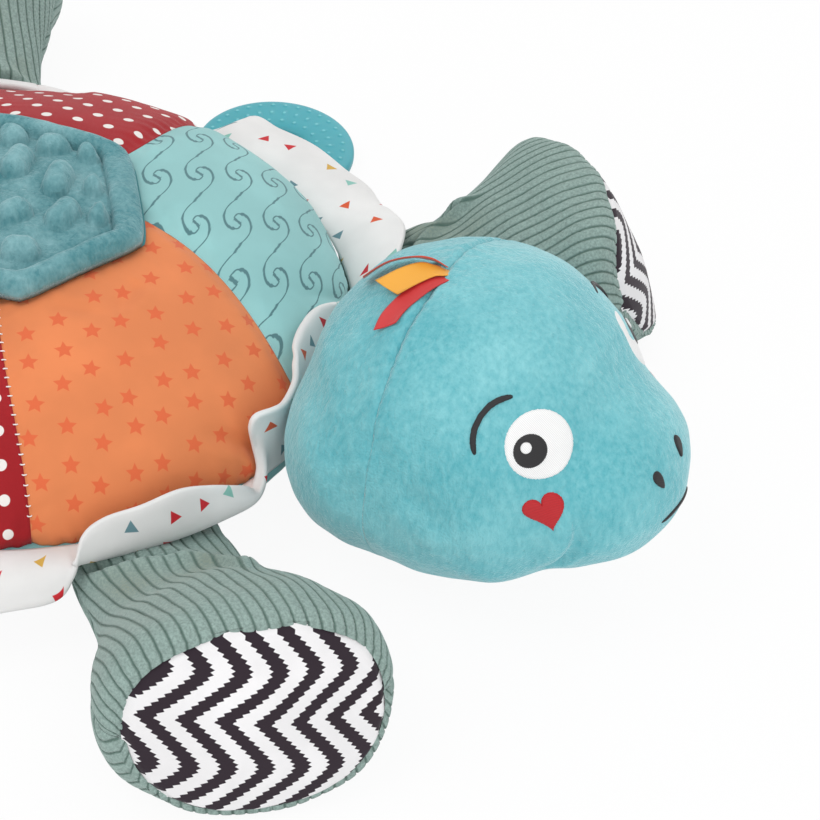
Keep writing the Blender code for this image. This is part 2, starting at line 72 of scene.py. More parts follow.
def smoothRows(rows, slopes, place):
    # Smooth curve through the rows of a table: cubic pieces with matching slopes
    before = np.clip(np.floor(place).astype(int), 0, len(rows) - 2)
    t = (place - before)[..., None]
    return (rows[before] * (2 * t ** 3 - 3 * t ** 2 + 1) + slopes[before] * (t ** 3 - 2 * t ** 2 + t)
            + rows[before + 1] * (3 * t ** 2 - 2 * t ** 3) + slopes[before + 1] * (t ** 3 - t ** 2))


def surfaceNormals(points):
    # Out of the surface, from the steps to the next row and column
    along = np.gradient(points, axis=0)
    around = np.gradient(points, axis=1)
    around[:, 0] = around[:, -1] = points[:, 1] - points[:, -2]
    facing = np.cross(around, along)
    return facing / np.maximum(np.linalg.norm(facing, axis=2, keepdims=True), 1e-9)


def turned(points, degreesRound, origin=(0, 0, 0)):
    # Turned about +Z and then moved to its place
    a = np.radians(degreesRound)
    x = points[..., 0] * np.cos(a) - points[..., 1] * np.sin(a)
    y = points[..., 0] * np.sin(a) + points[..., 1] * np.cos(a)
    return np.stack((x, y, points[..., 2]), -1) + np.asarray(origin, float)


def gridPiece(name, points, flat=None, marks=None, inside=None, closed=False):
    # A grid of points becomes quads between each row and column and the next.
    # flat gives each point its place on the cut cloth, and marks are numbers for the finish.
    rows, cols = points.shape[:2]
    corner = np.arange(rows * cols).reshape(rows, cols)
    quads = np.stack((corner[:-1, :-1], corner[:-1, 1:], corner[1:, 1:], corner[1:, :-1]), -1)
    quads = quads.reshape(-1, 4)
    spots = points.reshape(-1, 3)
    middle = spots.mean(0) if inside is None else np.asarray(inside, float)
    a, b, c, d = (spots[quads[:, k]] for k in range(4))
    facing = np.cross(c - a, d - b)
    if (facing * ((a + b + c + d) / 4 - middle)).sum() < 0:
        quads = quads[:, ::-1]
    mesh = bpy.data.meshes.new(name)
    mesh.vertices.add(len(spots))
    mesh.vertices.foreach_set("co", (spots * mm).astype(np.float32).ravel())
    mesh.loops.add(quads.size)
    mesh.loops.foreach_set("vertex_index", quads.ravel().astype(np.int32))
    mesh.polygons.add(len(quads))
    mesh.polygons.foreach_set("loop_start", np.arange(0, quads.size, 4, dtype=np.int32))
    mesh.update(calc_edges=True)
    if flat is not None:
        layer = mesh.uv_layers.new(name="cloth")
        layer.uv.foreach_set("vector", flat.reshape(-1, 2)[quads.ravel()].astype(np.float32).ravel())
    for key, value in (marks or {}).items():
        mark = mesh.attributes.new(key, "FLOAT", "POINT")
        mark.data.foreach_set("value", np.broadcast_to(value, (rows, cols)).astype(np.float32).ravel())
    form = bmesh.new()
    form.from_mesh(mesh)
    bmesh.ops.remove_doubles(form, verts=form.verts, dist=0.5e-6)
    if closed:
        bmesh.ops.recalc_face_normals(form, faces=form.faces)
    form.to_mesh(mesh)
    form.free()
    mesh.shade_smooth()
    piece = bpy.data.objects.new(name, mesh)
    bpy.context.scene.collection.objects.link(piece)
    return piece


def doubled(points, flat, thick):
    # Two layers of one sheet, half the thickness out on either side, joined along all its edges
    facing = np.cross(np.gradient(points, axis=1), np.gradient(points, axis=0))
    facing = facing / np.linalg.norm(facing, axis=2, keepdims=True) * thick / 2
    rows = np.concatenate((points[:1], points, points[-1:]))
    out = np.concatenate((0 * facing[:1], facing, 0 * facing[-1:]))
    cloth = np.concatenate((flat[:1], flat, flat[-1:]))
    around = np.concatenate((rows + out, (rows - out)[:, ::-1], (rows + out)[:, :1]), axis=1)
    return around, np.concatenate((cloth, cloth[:, ::-1], cloth[:, :1]), axis=1)


def dress(piece, body, finish, replaced=()):
    piece.data.materials.append(finish)
    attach(piece, body)
    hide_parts(*replaced)
    return piece


def cutSize(pattern):
    # Width, length and area in metres of the cloth as cut, from the edge of its flat pattern:
    # the area is half the sum of the cross products round that edge
    edge = np.concatenate((pattern[0], pattern[1:, -1], pattern[-1, -2::-1], pattern[-2::-1, 0])) * mm
    x, y = edge.T
    area = abs(np.sum(x * np.roll(y, -1) - y * np.roll(x, -1))) / 2
    return tuple(float(side) for side in np.ptp(edge, axis=0)), float(area)


# Shader maths


class Sock:
    # One socket with the arithmetic signs on it; each sign adds a Math node
    def __init__(self, finish, socket):
        self.finish, self.socket = finish, socket

    def maths(self, operation, *others):
        values = dict(enumerate((self, *others)))
        return self.finish.node("ShaderNodeMath", {"operation": operation}, values)

    def reflected(self, operation, other):
        return self.finish.node("ShaderNodeMath", {"operation": operation}, {0: other, 1: self})

    def __add__(self, other):
        return self.maths("ADD", other)

    def __radd__(self, other):
        return self.maths("ADD", other)

    def __sub__(self, other):
        return self.maths("SUBTRACT", other)

    def __rsub__(self, other):
        return self.reflected("SUBTRACT", other)

    def __mul__(self, other):
        return self.maths("MULTIPLY", other)

    def __rmul__(self, other):
        return self.maths("MULTIPLY", other)

    def __truediv__(self, other):
        return self.maths("DIVIDE", other)

    def __rtruediv__(self, other):
        return self.reflected("DIVIDE", other)

    def __pow__(self, other):
        return self.maths("POWER", other)

    def __neg__(self):
        return self.maths("MULTIPLY", -1)

    def __abs__(self):
        return self.maths("ABSOLUTE")

    def __lt__(self, other):
        return self.maths("LESS_THAN", other)

    def __gt__(self, other):
        return self.maths("GREATER_THAN", other)

    def floor(self):
        return self.maths("FLOOR")

    def sine(self):
        return self.maths("SINE")

    def cosine(self):
        return self.maths("COSINE")

    def root(self):
        return self.maths("SQRT")

    def least(self, other):
        return self.maths("MINIMUM", other)

    def most(self, other):
        return self.maths("MAXIMUM", other)

    def saw(self, period):
        # Place within a repeat, from minus half a period to half a period
        return self - (self / period + 0.5).floor() * period

    def ramp(self, low, high):
        # 0 below low and 1 above high, smooth between
        return self.finish.node("ShaderNodeMapRange", {"interpolation_type": "SMOOTHSTEP"},
                                {"Value": self, "From Min": low, "From Max": high})


class Finish:
    def __init__(self, name, **shader):
        self.material = bpy.data.materials.new(name)
        self.material.use_nodes = True
        self.tree = self.material.node_tree
        self.shader = self.tree.nodes["Principled BSDF"]
        for key, value in shader.items():
            self.shader.inputs[key.replace("_", " ")].default_value = value

    def node(self, kind, settings=None, values=None, out=0):
        made = self.tree.nodes.new(kind)
        for key, value in (settings or {}).items():
            if key == "stops":
                while len(made.color_ramp.elements) < len(value):
                    made.color_ramp.elements.new(1)
                for stop, (place, colour) in zip(made.color_ramp.elements, value):
                    stop.position, stop.color = place, (*colour, 1)
            elif key == "steps":
                made.color_ramp.interpolation = value
            else:
                setattr(made, key, value)
        for key, value in (values or {}).items():
            if isinstance(value, Sock):
                self.tree.links.new(value.socket, made.inputs[key])
            else:
                made.inputs[key].default_value = value
        return Sock(self, made.outputs[out])

    def split(self, vector):
        parts = self.node("ShaderNodeSeparateXYZ", None, {0: vector}).socket.node
        return [Sock(self, parts.outputs[k]) for k in range(3)]

    def join(self, x, y, z=0.0):
        return self.node("ShaderNodeCombineXYZ", None, {0: x, 1: y, 2: z})

    def cloth(self):
        # Place on the cut cloth, across and along, in millimetres
        return self.split(self.node("ShaderNodeUVMap", {"uv_map": "cloth"}))[:2]

    def places(self):
        return self.node("ShaderNodeTexCoord", out=3)

    def mark(self, name):
        return self.node("ShaderNodeAttribute", {"attribute_name": name}, out=2)

    def mix(self, share, one, other, blend="MIX"):
        colours = {k: (*v, 1) if isinstance(v, tuple) else v for k, v in ((6, one), (7, other))}
        return self.node("ShaderNodeMix", {"data_type": "RGBA", "blend_type": blend},
                         {0: share, **colours}, out=2)

    def noise(self, scale, detail=2.0, where=None, rough=0.5):
        return self.node("ShaderNodeTexNoise", None, {
            "Vector": where or self.places(), "Scale": scale, "Detail": detail, "Roughness": rough})

    def scaled(self, where, x, y, z):
        return self.node("ShaderNodeMapping", None, {"Vector": where, "Scale": (x, y, z)})

    def chance(self, where):
        return self.node("ShaderNodeTexWhiteNoise", {"noise_dimensions": "2D"}, {"Vector": where})

    def feed(self, key, value):
        self.tree.links.new(value.socket, self.shader.inputs[key])

    def bump(self, height, depth, strength=1.0):
        # depth in millimetres for a height of 1
        self.feed("Normal", self.node("ShaderNodeBump", None, {
            "Height": height, "Distance": depth * mm, "Strength": strength}))


def weave(u, v, pitch):
    # Plain weave: threads over and under in turn, as a height from 0 to 1
    warp = (u * (2 * pi / pitch)).sine()
    weft = (v * (2 * pi / pitch)).sine()
    return warp * weft * 0.5 + 0.5


def printedCotton(name, ground, drawPrint, rough=0.78):
    # Smooth cotton with a fine weave and slight tone changes; drawPrint lays colours on it
    finish = Finish(name, Roughness=rough, Specular_IOR_Level=0.25, Sheen_Weight=0.12,
                    Sheen_Roughness=0.5)
    u, v = finish.cloth()
    tone = finish.noise(28.0, 3.0)
    darker = tuple(0.88 * c for c in ground)
    cloth = finish.mix(tone.ramp(0.35, 0.75), darker, ground)
    coloured = drawPrint(finish, u, v, cloth)
    threads = weave(u, v, 0.42)
    # Painted shade: the dips between the woven threads are darkened a little towards black
    finish.feed("Base Color", finish.mix((1 - threads) * 0.12, coloured, (0.02, 0.02, 0.02)))
    finish.bump(threads + finish.noise(1400.0, 2.0) * 0.8, 0.05, 0.8)
    return finish.material


starPrint = {"cell": 15.0, "tip": 4.1, "dent": 2.0, "shift": 0.3, "turn": 0.3, "start": 1.0,
             "ground": (0.85, 0.262, 0.095), "star": (0.76, 0.13, 0.045)}


def drawStars(finish, u, v, cloth):
    # One star in each cell, shifted and turned by chance. Folded into a tenth of a turn,
    # its edge is one straight line from the tip to the dent.
    size = starPrint["cell"]
    row = (v / size).floor()
    across = u + (row.saw(2) > -0.5) * (size / 2)
    cell = finish.join((across / size).floor(), row)
    luck = finish.node("ShaderNodeTexWhiteNoise", {"noise_dimensions": "2D"}, {"Vector": cell}, 1)
    lucky = finish.split(luck)
    x = across - ((across / size).floor() + 0.5) * size - (lucky[0] - 0.5) * size * starPrint["shift"]
    y = v - (row + 0.5) * size - (lucky[1] - 0.5) * size * starPrint["shift"]
    reach = (x * x + y * y).root()
    fifth = 2 * pi / 5
    turn = x.maths("ARCTAN2", y) + lucky[2] * starPrint["turn"] + starPrint["start"]
    folded = abs(turn.saw(fifth))
    tip, dent = starPrint["tip"], starPrint["dent"]
    slope, rise = dent * np.sin(fifth / 2), tip - dent * np.cos(fifth / 2)
    edge = folded.cosine() * reach * slope + folded.sine() * reach * rise
    inside = 1 - edge.ramp(tip * slope - 0.6, tip * slope + 0.6)
    return finish.mix(inside * 0.85, cloth, starPrint["star"])


wavePrint = {"across": 20.6, "along": 19.2, "line": 0.52, "soft": 0.15, "reach": 12, "steepest": 5,
             "ground": (0.33, 0.64, 0.64), "ink": (0.075, 0.19, 0.21)}
# The line of one scroll: distance from its eye in millimetres, and its direction there in degrees
waveTurns = [(0, -144), (2.2, -144), (2.5, -126), (2.62, -94), (3.0, -53.5), (4.19, -21.9),
             (5.63, -1.5), (7.24, 18.8), (7.93, 30.3), (8.2, 45), (8.3, 59.5), (8.5, 76.8),
             (9.75, 88.9)]


def drawWaves(finish, u, v, cloth):
    # Running scrolls: in each repeat one line winds out from an eye, the same twice about it.
    # Distance to it is the turn to it times the reach, less where it runs outwards slantwise.
    x = (u * -0.2624 + v * 1.0997 - 89.3).saw(wavePrint["across"])
    y = (u * -0.5441 + v * 0.1424 - 1.44).saw(wavePrint["along"])
    right, up = x + y * 0.033, y + x * 0.126
    reach = (right * right + up * up).root()
    place = reach / wavePrint["reach"]
    turns = [(r / wavePrint["reach"], ((a + 180) / 360,) * 3) for r, a in waveTurns]
    turn = finish.node("ShaderNodeValToRGB", {"steps": "LINEAR", "stops": turns}, {0: place})
    slopes = [(r / wavePrint["reach"], (np.radians(nextTurn - a) / (nextR - r) / wavePrint["steepest"],) * 3)
              for (r, a), (nextR, nextTurn) in zip(waveTurns, waveTurns[1:] + [(wavePrint["reach"], 88.9)])]
    slope = finish.node("ShaderNodeValToRGB", {"steps": "CONSTANT", "stops": slopes}, {0: place})
    slant = slope * reach * wavePrint["steepest"]
    aside = abs((up.maths("ARCTAN2", right) - (turn * 2 - 1) * pi).saw(pi)) * reach
    away = aside / (slant * slant + 1).root()
    # Where the line runs nearly round the eye, its distance out at each turn is used as well
    early, late = waveTurns[1:9] + [(8.04, 36)], [(8.04, 36)] + waveTurns[9:] + [(14, 90)]
    place = (up.maths("ARCTAN2", right) + np.radians(54)).saw(pi) / pi + 0.5
    outs = []
    for runs, first in ((early, -144), (late, 36)):
        stops = [((a - first) / 180, (r / 15,) * 3) for r, a in runs]
        out = finish.node("ShaderNodeValToRGB", {"steps": "LINEAR", "stops": stops}, {0: place})
        outs.append(abs(reach - out * 15))
    between = (reach > 2.3) * (reach < 9.3)
    away = away.most(outs[0].least(outs[1]) * between * 0.6)
    ink = 1 - away.ramp(wavePrint["line"] - wavePrint["soft"], wavePrint["line"] + wavePrint["soft"])
    return finish.mix(ink * 0.92, cloth, wavePrint["ink"])


dotPrint = {"across": 14.0, "along": 24.2, "dot": 2.35, "ground": (0.40, 0.008, 0.014),
            "ink": (0.88, 0.84, 0.80)}


def drawDots(finish, u, v, cloth):
    # Rows of dots, each shifted by half a step from the next
    across, along = dotPrint["across"], dotPrint["along"]
    x, y = u.saw(across), v.saw(along)
    x2, y2 = (u + across / 2).saw(across), (v + along / 2).saw(along)
    reach = (x * x + y * y).root().least((x2 * x2 + y2 * y2).root())
    dot = 1 - reach.ramp(dotPrint["dot"] - 0.15, dotPrint["dot"] + 0.15)
    return finish.mix(dot, cloth, dotPrint["ink"])


trianglePrint = {"cell": 19.0, "base": 3.0, "tip": 3.4, "foot": 1.9, "share": 0.88, "shift": 0.45,
                 "ground": (0.89, 0.88, 0.87),
                 "inks": ((0.0, (0.60, 0.02, 0.03)), (0.35, (0.72, 0.10, 0.03)),
                          (0.47, (0.66, 0.40, 0.07)), (0.59, (0.26, 0.55, 0.48)),
                          (0.81, (0.14, 0.27, 0.31)))}


def drawTriangles(finish, u, v, cloth):
    # A slim triangle in some of the cells, turned and coloured by chance
    size = trianglePrint["cell"]
    column, row = (u / size).floor(), (v / size).floor()
    cell = finish.join(column, row)
    luck = finish.node("ShaderNodeTexWhiteNoise", {"noise_dimensions": "2D"}, {"Vector": cell}, 1)
    lucky = finish.split(luck)
    other = finish.chance(finish.join(column + 31.0, row - 17.0))
    x = u - (column + 0.5) * size - (lucky[1] - 0.5) * size * trianglePrint["shift"]
    y = v - (row + 0.5) * size - (lucky[2] - 0.5) * size * trianglePrint["shift"]
    turn = lucky[0] * (2 * pi)
    along = x * turn.cosine() + y * turn.sine()
    across = abs(y * turn.cosine() - x * turn.sine())
    base, tip, foot = trianglePrint["base"], trianglePrint["tip"], trianglePrint["foot"]
    slope = base / (tip + foot)
    sides = across - (tip - along) * slope
    outside = sides.most(-foot - along)
    shape = (1 - outside.ramp(-0.12, 0.16)) * (other < trianglePrint["share"])
    ink = finish.node("ShaderNodeValToRGB", {"steps": "CONSTANT", "stops": trianglePrint["inks"]},
                      {0: other / trianglePrint["share"]})
    return finish.mix(shape, cloth, ink)


zigzagPrint = {"pitch": 13.4, "stripe": 3.2, "repeat": 37.9, "swing": 20.5, "round": 0.08,
               "shift": -1.6, "tooth": 1.93, "toothDepth": 1.5, "ground": (0.92, 0.91, 0.92),
               "ink": (0.022, 0.012, 0.020), "sideWay": (0.9694, -0.2566),
               "downWay": (-0.00464, -0.02606)}


def drawZigzag(finish, u, v, cloth):
    # Stripes that run to and fro across the sole, and their edges step in small teeth
    pitch, tooth, soft = (zigzagPrint[k] for k in ("pitch", "tooth", "round"))
    side, down = (u * zigzagPrint[k][0] + v * zigzagPrint[k][1] for k in ("sideWay", "downWay"))
    bend = down.saw(1.0)
    swing = (bend * bend + soft ** 2).root() * (2 * zigzagPrint["swing"])
    teeth = (abs((down * zigzagPrint["repeat"]).saw(tooth)) * (2 / tooth) - 0.5) * zigzagPrint["toothDepth"]
    away = abs((side + swing + teeth + zigzagPrint["shift"]).saw(pitch))
    stripe = 1 - away.ramp(zigzagPrint["stripe"] - 0.12, zigzagPrint["stripe"] + 0.12)
    return finish.mix(stripe, cloth, zigzagPrint["ink"])


def drawPlain(finish, u, v, cloth):
    return cloth


def plush(name, deep, pale, pile, patch, bumpDepth, uneven, sheen):
    # Short pile that lies one way here and another there: pale where it catches the light.
    # The pile is noise drawn out along the lie of the fibres.
    finish = Finish(name, Roughness=0.92, Specular_IOR_Level=0.12, Sheen_Weight=sheen,
                    Sheen_Roughness=0.38, Sheen_Tint=(0.76, 0.94, 0.96, 1))
    where = finish.places()
    lie = finish.noise(patch, 3.0, where, 0.6)
    fibres = finish.noise(pile, 4.0, finish.scaled(where, 1, 1, 0.45), 0.62)
    fine = finish.noise(pile * 2.6, 2.0, where)
    share = (lie.ramp(0.36, 0.68) - 0.5) * uneven + (fibres - 0.5) * 1.2 + 0.45
    finish.feed("Base Color", finish.mix(share.most(0.0).least(1.0), deep, pale))
    finish.bump(fibres * 1.0 + fine * 0.45 + lie * 0.7, bumpDepth, 0.9)
    return finish.material


# deep is the colour of the painted shade in the grooves between the ribs
cordCloth = {"pitch": 5.0, "deep": (0.09, 0.155, 0.13), "rib": (0.315, 0.425, 0.39),
             "worn": (0.262, 0.305, 0.242)}


def corduroy(name):
    # Ribs of cut pile: the grooves between them are darkened as painted shade, and the pile is finely
    # speckled
    finish = Finish(name, Roughness=0.93, Specular_IOR_Level=0.12, Sheen_Weight=0.3,
                    Sheen_Roughness=0.45, Sheen_Tint=(0.85, 0.95, 0.92, 1))
    u, v = finish.cloth()
    across = abs(u.saw(cordCloth["pitch"])) * (2 / cordCloth["pitch"])
    # rib is 1 on a rib and falls to 0 in a groove, where the shade is painted
    rib = 1 - across.ramp(0.66, 1.0)
    speckle = finish.noise(900.0, 3.0, None, 0.7)
    worn = (finish.noise(26.0, 3.0).ramp(0.3, 0.6) * finish.mark("worn")).least(1.0)
    pile = finish.mix(worn, cordCloth["rib"], cordCloth["worn"])
    shade = finish.mix(speckle.ramp(0.3, 0.72), tuple(0.66 * c for c in cordCloth["rib"]), pile)
    # Painted shade: the grooves fall to the deep colour and the ribs keep the pile colour
    finish.feed("Base Color", finish.mix(rib * 0.9 + 0.1, cordCloth["deep"], shade))
    finish.bump(speckle * 0.9 + rib * 1.2, 0.42, 0.9)
    return finish.material


def satinStitch(name, colour, slant, sheen=0.15):
    # Close parallel threads, a third of a millimetre apart
    finish = Finish(name, Roughness=0.5, Specular_IOR_Level=0.4, Sheen_Weight=sheen)
    u, v = finish.cloth()
    a = np.radians(slant)
    ripple = finish.noise(260.0, 2.0) * 0.35
    threads = ((u * float(np.cos(a)) + v * float(np.sin(a)) + ripple) * (2 * pi / 0.62)).sine() * 0.5 + 0.5
    # Painted shade: the dips between the threads are darkened towards a third of the thread colour
    finish.feed("Base Color", finish.mix((1 - threads) * 0.28, colour, tuple(0.3 * c for c in colour)))
    finish.bump(threads, 0.12, 0.8)
    return finish.material


def satinRibbon(name, colour):
    # Fine ribs across the ribbon, smooth and slightly glossy
    finish = Finish(name, Roughness=0.42, Specular_IOR_Level=0.5, Sheen_Weight=0.2)
    u, v = finish.cloth()
    ribs = (v * (2 * pi / 0.55)).sine() * 0.5 + 0.5
    edge = abs(u).ramp(4.6, 5.3)
    body = finish.mix(ribs * 0.16, colour, tuple(0.45 * c for c in colour))
    finish.feed("Base Color", finish.mix(edge * 0.35, body, tuple(0.5 * c for c in colour)))
    finish.bump(ribs + edge * 2.0, 0.05, 0.7)
    return finish.material


def rubber(name, colour, paler):
    finish = Finish(name, Specular_IOR_Level=0.45, Subsurface_Weight=0.12, Subsurface_Scale=0.004)
    cloudy = finish.noise(60.0, 2.0)
    tops = finish.mark("dots")
    body = finish.mix(cloudy.ramp(0.3, 0.8) * 0.35, colour, tuple(1.12 * c for c in colour))
    finish.feed("Base Color", finish.mix(tops.ramp(0.25, 0.9) * 0.75, body, paler))
    finish.feed("Roughness", finish.noise(300.0, 2.0) * 0.12 + 0.36)
    finish.bump(finish.noise(700.0, 2.0), 0.03, 0.6)
    return finish.material


finishes = {
    "starCotton": printedCotton("star cotton", starPrint["ground"], drawStars),
    "waveCotton": printedCotton("wave cotton", wavePrint["ground"], drawWaves),
    "dotCotton": printedCotton("dot cotton", dotPrint["ground"], drawDots),
    "ruffleCotton": printedCotton("ruffle cotton", trianglePrint["ground"], drawTriangles),
    "zigzagCotton": printedCotton("zigzag cotton", zigzagPrint["ground"], drawZigzag),
    "plainCotton": printedCotton("plain cotton", (0.25, 0.55, 0.56), drawPlain),
    "liningCotton": printedCotton("lining cotton", (0.05, 0.27, 0.30), drawPlain),
    "headPlush": plush("head plush", (0.095, 0.405, 0.465), (0.30, 0.66, 0.70), 420.0, 15.0, 1.1, 0.42, 0.85),
    "flapPlush": plush("flap plush", (0.07, 0.235, 0.265), (0.28, 0.50, 0.53), 460.0, 34.0, 1.1, 0.55, 0.55),
    "corduroy": corduroy("corduroy"),
    "whiteStitch": satinStitch("white stitch", (0.94, 0.94, 0.94), 35),
    "blackStitch": satinStitch("black stitch", (0.014, 0.013, 0.015), 60, 0.05),
    "redStitch": satinStitch("red stitch", (0.50, 0.004, 0.010), 80, 0.04),
    "yellowRibbon": satinRibbon("yellow ribbon", (0.84, 0.38, 0.025)),
    "redRibbon": satinRibbon("red ribbon", (0.58, 0.012, 0.014)),
    "orangeRibbon": satinRibbon("orange ribbon", (0.66, 0.055, 0.015)),
    "rubber": rubber("teether rubber", (0.055, 0.36, 0.42), (0.20, 0.60, 0.64)),
}
print("finishes made")


# Camera and stage

camera = {"place": (424.76, -693.10, 709.13), "aim": (98.98, -25.17, 40), "focus": 2400,
          "aimPixel": (196, 392), "picture": 820, "sensor": 36}


def makeCamera():
    # The photograph is cropped off centre. The camera turns to the middle of the picture
    # by the smallest turn, so that it needs no shift.
    place = Vector(camera["place"])
    forward = (Vector(camera["aim"]) - place).normalized()
    right = forward.cross(Vector((0, 0, 1))).normalized()
    up = right.cross(forward)
    half = camera["picture"] / 2
    offX, offY = half - camera["aimPixel"][0], half - camera["aimPixel"][1]
    middle = (forward * camera["focus"] + right * offX - up * offY).normalized()
    swing = forward.rotation_difference(middle).to_matrix()
    right, up, forward = swing @ right, swing @ up, swing @ forward
    data = bpy.data.cameras.new("camera")
    data.sensor_width = camera["sensor"]
    data.lens = camera["focus"] / camera["picture"] * camera["sensor"]
    data.clip_start, data.clip_end = 0.05, 20
    made = bpy.data.objects.new("camera", data)
    bpy.context.scene.collection.objects.link(made)
    axes = Matrix((right, up, -forward)).transposed()
    made.matrix_world = Matrix.Translation(place * mm) @ axes.to_4x4()
    bpy.context.scene.camera = made


stage = {"size": 8.0, "shadowShare": 0.07, "sky": 0.72, "lamps": [
    ("keyLamp", (-1.0, -0.8, 2.3), 1.5, 15.5), ("fillLamp", (1.1, -1.5, 1.2), 1.8, 15.5),
    ("backLamp", (0.3, 1.9, 1.6), 1.8, 10.5)]}


def makeStage():
    # A pale floor that shows white to the camera and still takes a faint shadow
    finish = Finish("floor", Roughness=1.0, Base_Color=(0.86, 0.86, 0.86, 1), Specular_IOR_Level=0.0)
    path = finish.node("ShaderNodeLightPath").socket.node
    seen = Sock(finish, path.outputs["Is Camera Ray"])
    glossy = Sock(finish, path.outputs["Is Glossy Ray"])
    white = finish.node("ShaderNodeEmission", None, {"Color": (1, 1, 1, 1), "Strength": 1.0})
    share = seen.most(glossy) * (1 - stage["shadowShare"])
    body = Sock(finish, finish.shader.outputs[0])
    both = finish.node("ShaderNodeMixShader", None, {0: share, 1: body, 2: white})
    finish.tree.links.new(both.socket, finish.tree.nodes["Material Output"].inputs[0])
    half = stage["size"] / 2 / mm
    side = np.linspace(-half, half, 3)
    x, y = np.meshgrid(side, side)
    floor = gridPiece("floor", np.stack((x, y, np.full_like(x, -0.4)), -1), inside=(0, 0, -half))
    floor.data.materials.append(finish.material)
    world = bpy.data.worlds.new("studio")
    bpy.context.scene.world = world
    world.use_nodes = True
    links, nodes = world.node_tree.links, world.node_tree.nodes
    back = nodes["Background"]
    back.inputs["Color"].default_value = (1, 1, 1, 1)
    path = nodes.new("ShaderNodeLightPath")
    both = nodes.new("ShaderNodeMapRange")
    either = nodes.new("ShaderNodeMath")
    either.operation = "MAXIMUM"
    links.new(path.outputs["Is Camera Ray"], either.inputs[0])
    links.new(path.outputs["Is Glossy Ray"], either.inputs[1])
    links.new(either.outputs[0], both.inputs["Value"])
    both.inputs["To Min"].default_value = stage["sky"]
    both.inputs["To Max"].default_value = 1
    links.new(both.outputs[0], back.inputs["Strength"])
    for name, place, size, power in stage["lamps"]:
        data = bpy.data.lights.new(name, "AREA")
        data.size, data.energy = size, power
        lamp = bpy.data.objects.new(name, data)
        bpy.context.scene.collection.objects.link(lamp)
        lamp.location = place
        lamp.rotation_mode = "QUATERNION"
        lamp.rotation_quaternion = (-Vector(place)).to_track_quat("-Z", "Y")


bpy.context.scene.view_settings.view_transform = "Standard"
makeCamera()
makeStage()
print("camera and stage made")


# Shell

shell = {"radius": 146, "rimHeight": 28, "rise": 60, "base": 118, "turn": 3, "panels": 6,
         "topApothem": 50.5, "seamDip": 2.6, "seamReach": 5.5, "tuck": 4.0, "pucker": 0.5}


def domePoint(radius, azimuth, inset=0, lift=0):
    # Half an ellipsoid over the rim: inset draws it in and lift raises it
    share = np.clip(radius / shell["radius"], 0, 1)
    outer = (shell["radius"] - inset) * share
    height = shell["rimHeight"] + (shell["rise"] - inset) * np.sqrt(1 - share * share) + lift
    return np.stack(np.broadcast_arrays(outer * np.cos(azimuth), outer * np.sin(azimuth), height), -1)


def bowlPoint(share, azimuth, inset=0):
    # Quarter of an ellipse from the rim, at 0, down to the edge of the flat base, at 1
    swing = share * pi / 2
    outer = shell["base"] + (shell["radius"] - inset - shell["base"]) * np.cos(swing)
    height = inset + (shell["rimHeight"] - inset) * (1 - np.sin(swing))
    return np.stack(np.broadcast_arrays(outer * np.cos(azimuth), outer * np.sin(azimuth), height), -1)


def rimReach(height):
    # How far the lower half of the shell reaches at a height under the rim
    fall = 1 - height / shell["rimHeight"]
    return shell["base"] + (shell["radius"] - shell["base"]) * np.sqrt(1 - fall ** 2)


swingTable = np.linspace(0, pi / 2, 200)
domeRun = np.concatenate(([0], np.cumsum(np.hypot(
    np.diff(shell["radius"] * np.sin(swingTable)), np.diff(shell["rise"] * np.cos(swingTable))))))


def domeFlat(swing, azimuth):
    # Place on the cut cloth: distance run down from the top, in its own direction
    run = np.interp(swing, swingTable, domeRun)
    return run * np.sin(azimuth), run * np.cos(azimuth)


def panelShare(azimuth):
    span = 2 * pi / shell["panels"]
    return 2 * (((azimuth - np.radians(shell["turn"])) % span) / span) - 1


def hexagonRadius(apothem, azimuth, trim=0):
    across = panelShare(azimuth)
    return apothem / np.cos(across * pi / shell["panels"]) * (1 - trim * np.abs(across) ** 6)


def creased(u, v, folds):
    # Each fold is a line on the cloth: from x, y to x, y, its width and its depth
    total = 0
    for x0, y0, x1, y1, width, depth in folds:
        run = np.hypot(x1 - x0, y1 - y0)
        along = ((u - x0) * (x1 - x0) + (v - y0) * (y1 - y0)) / run ** 2
        side = ((u - x0) * (y1 - y0) - (v - y0) * (x1 - x0)) / run
        taper = smoothStep(along / 0.2 + 0.2) * smoothStep((1 - along) / 0.5 + 0.2)
        total = total + depth * taper * (bell(side, width) - 0.5 * bell(side - 2 * width, width))
    return total


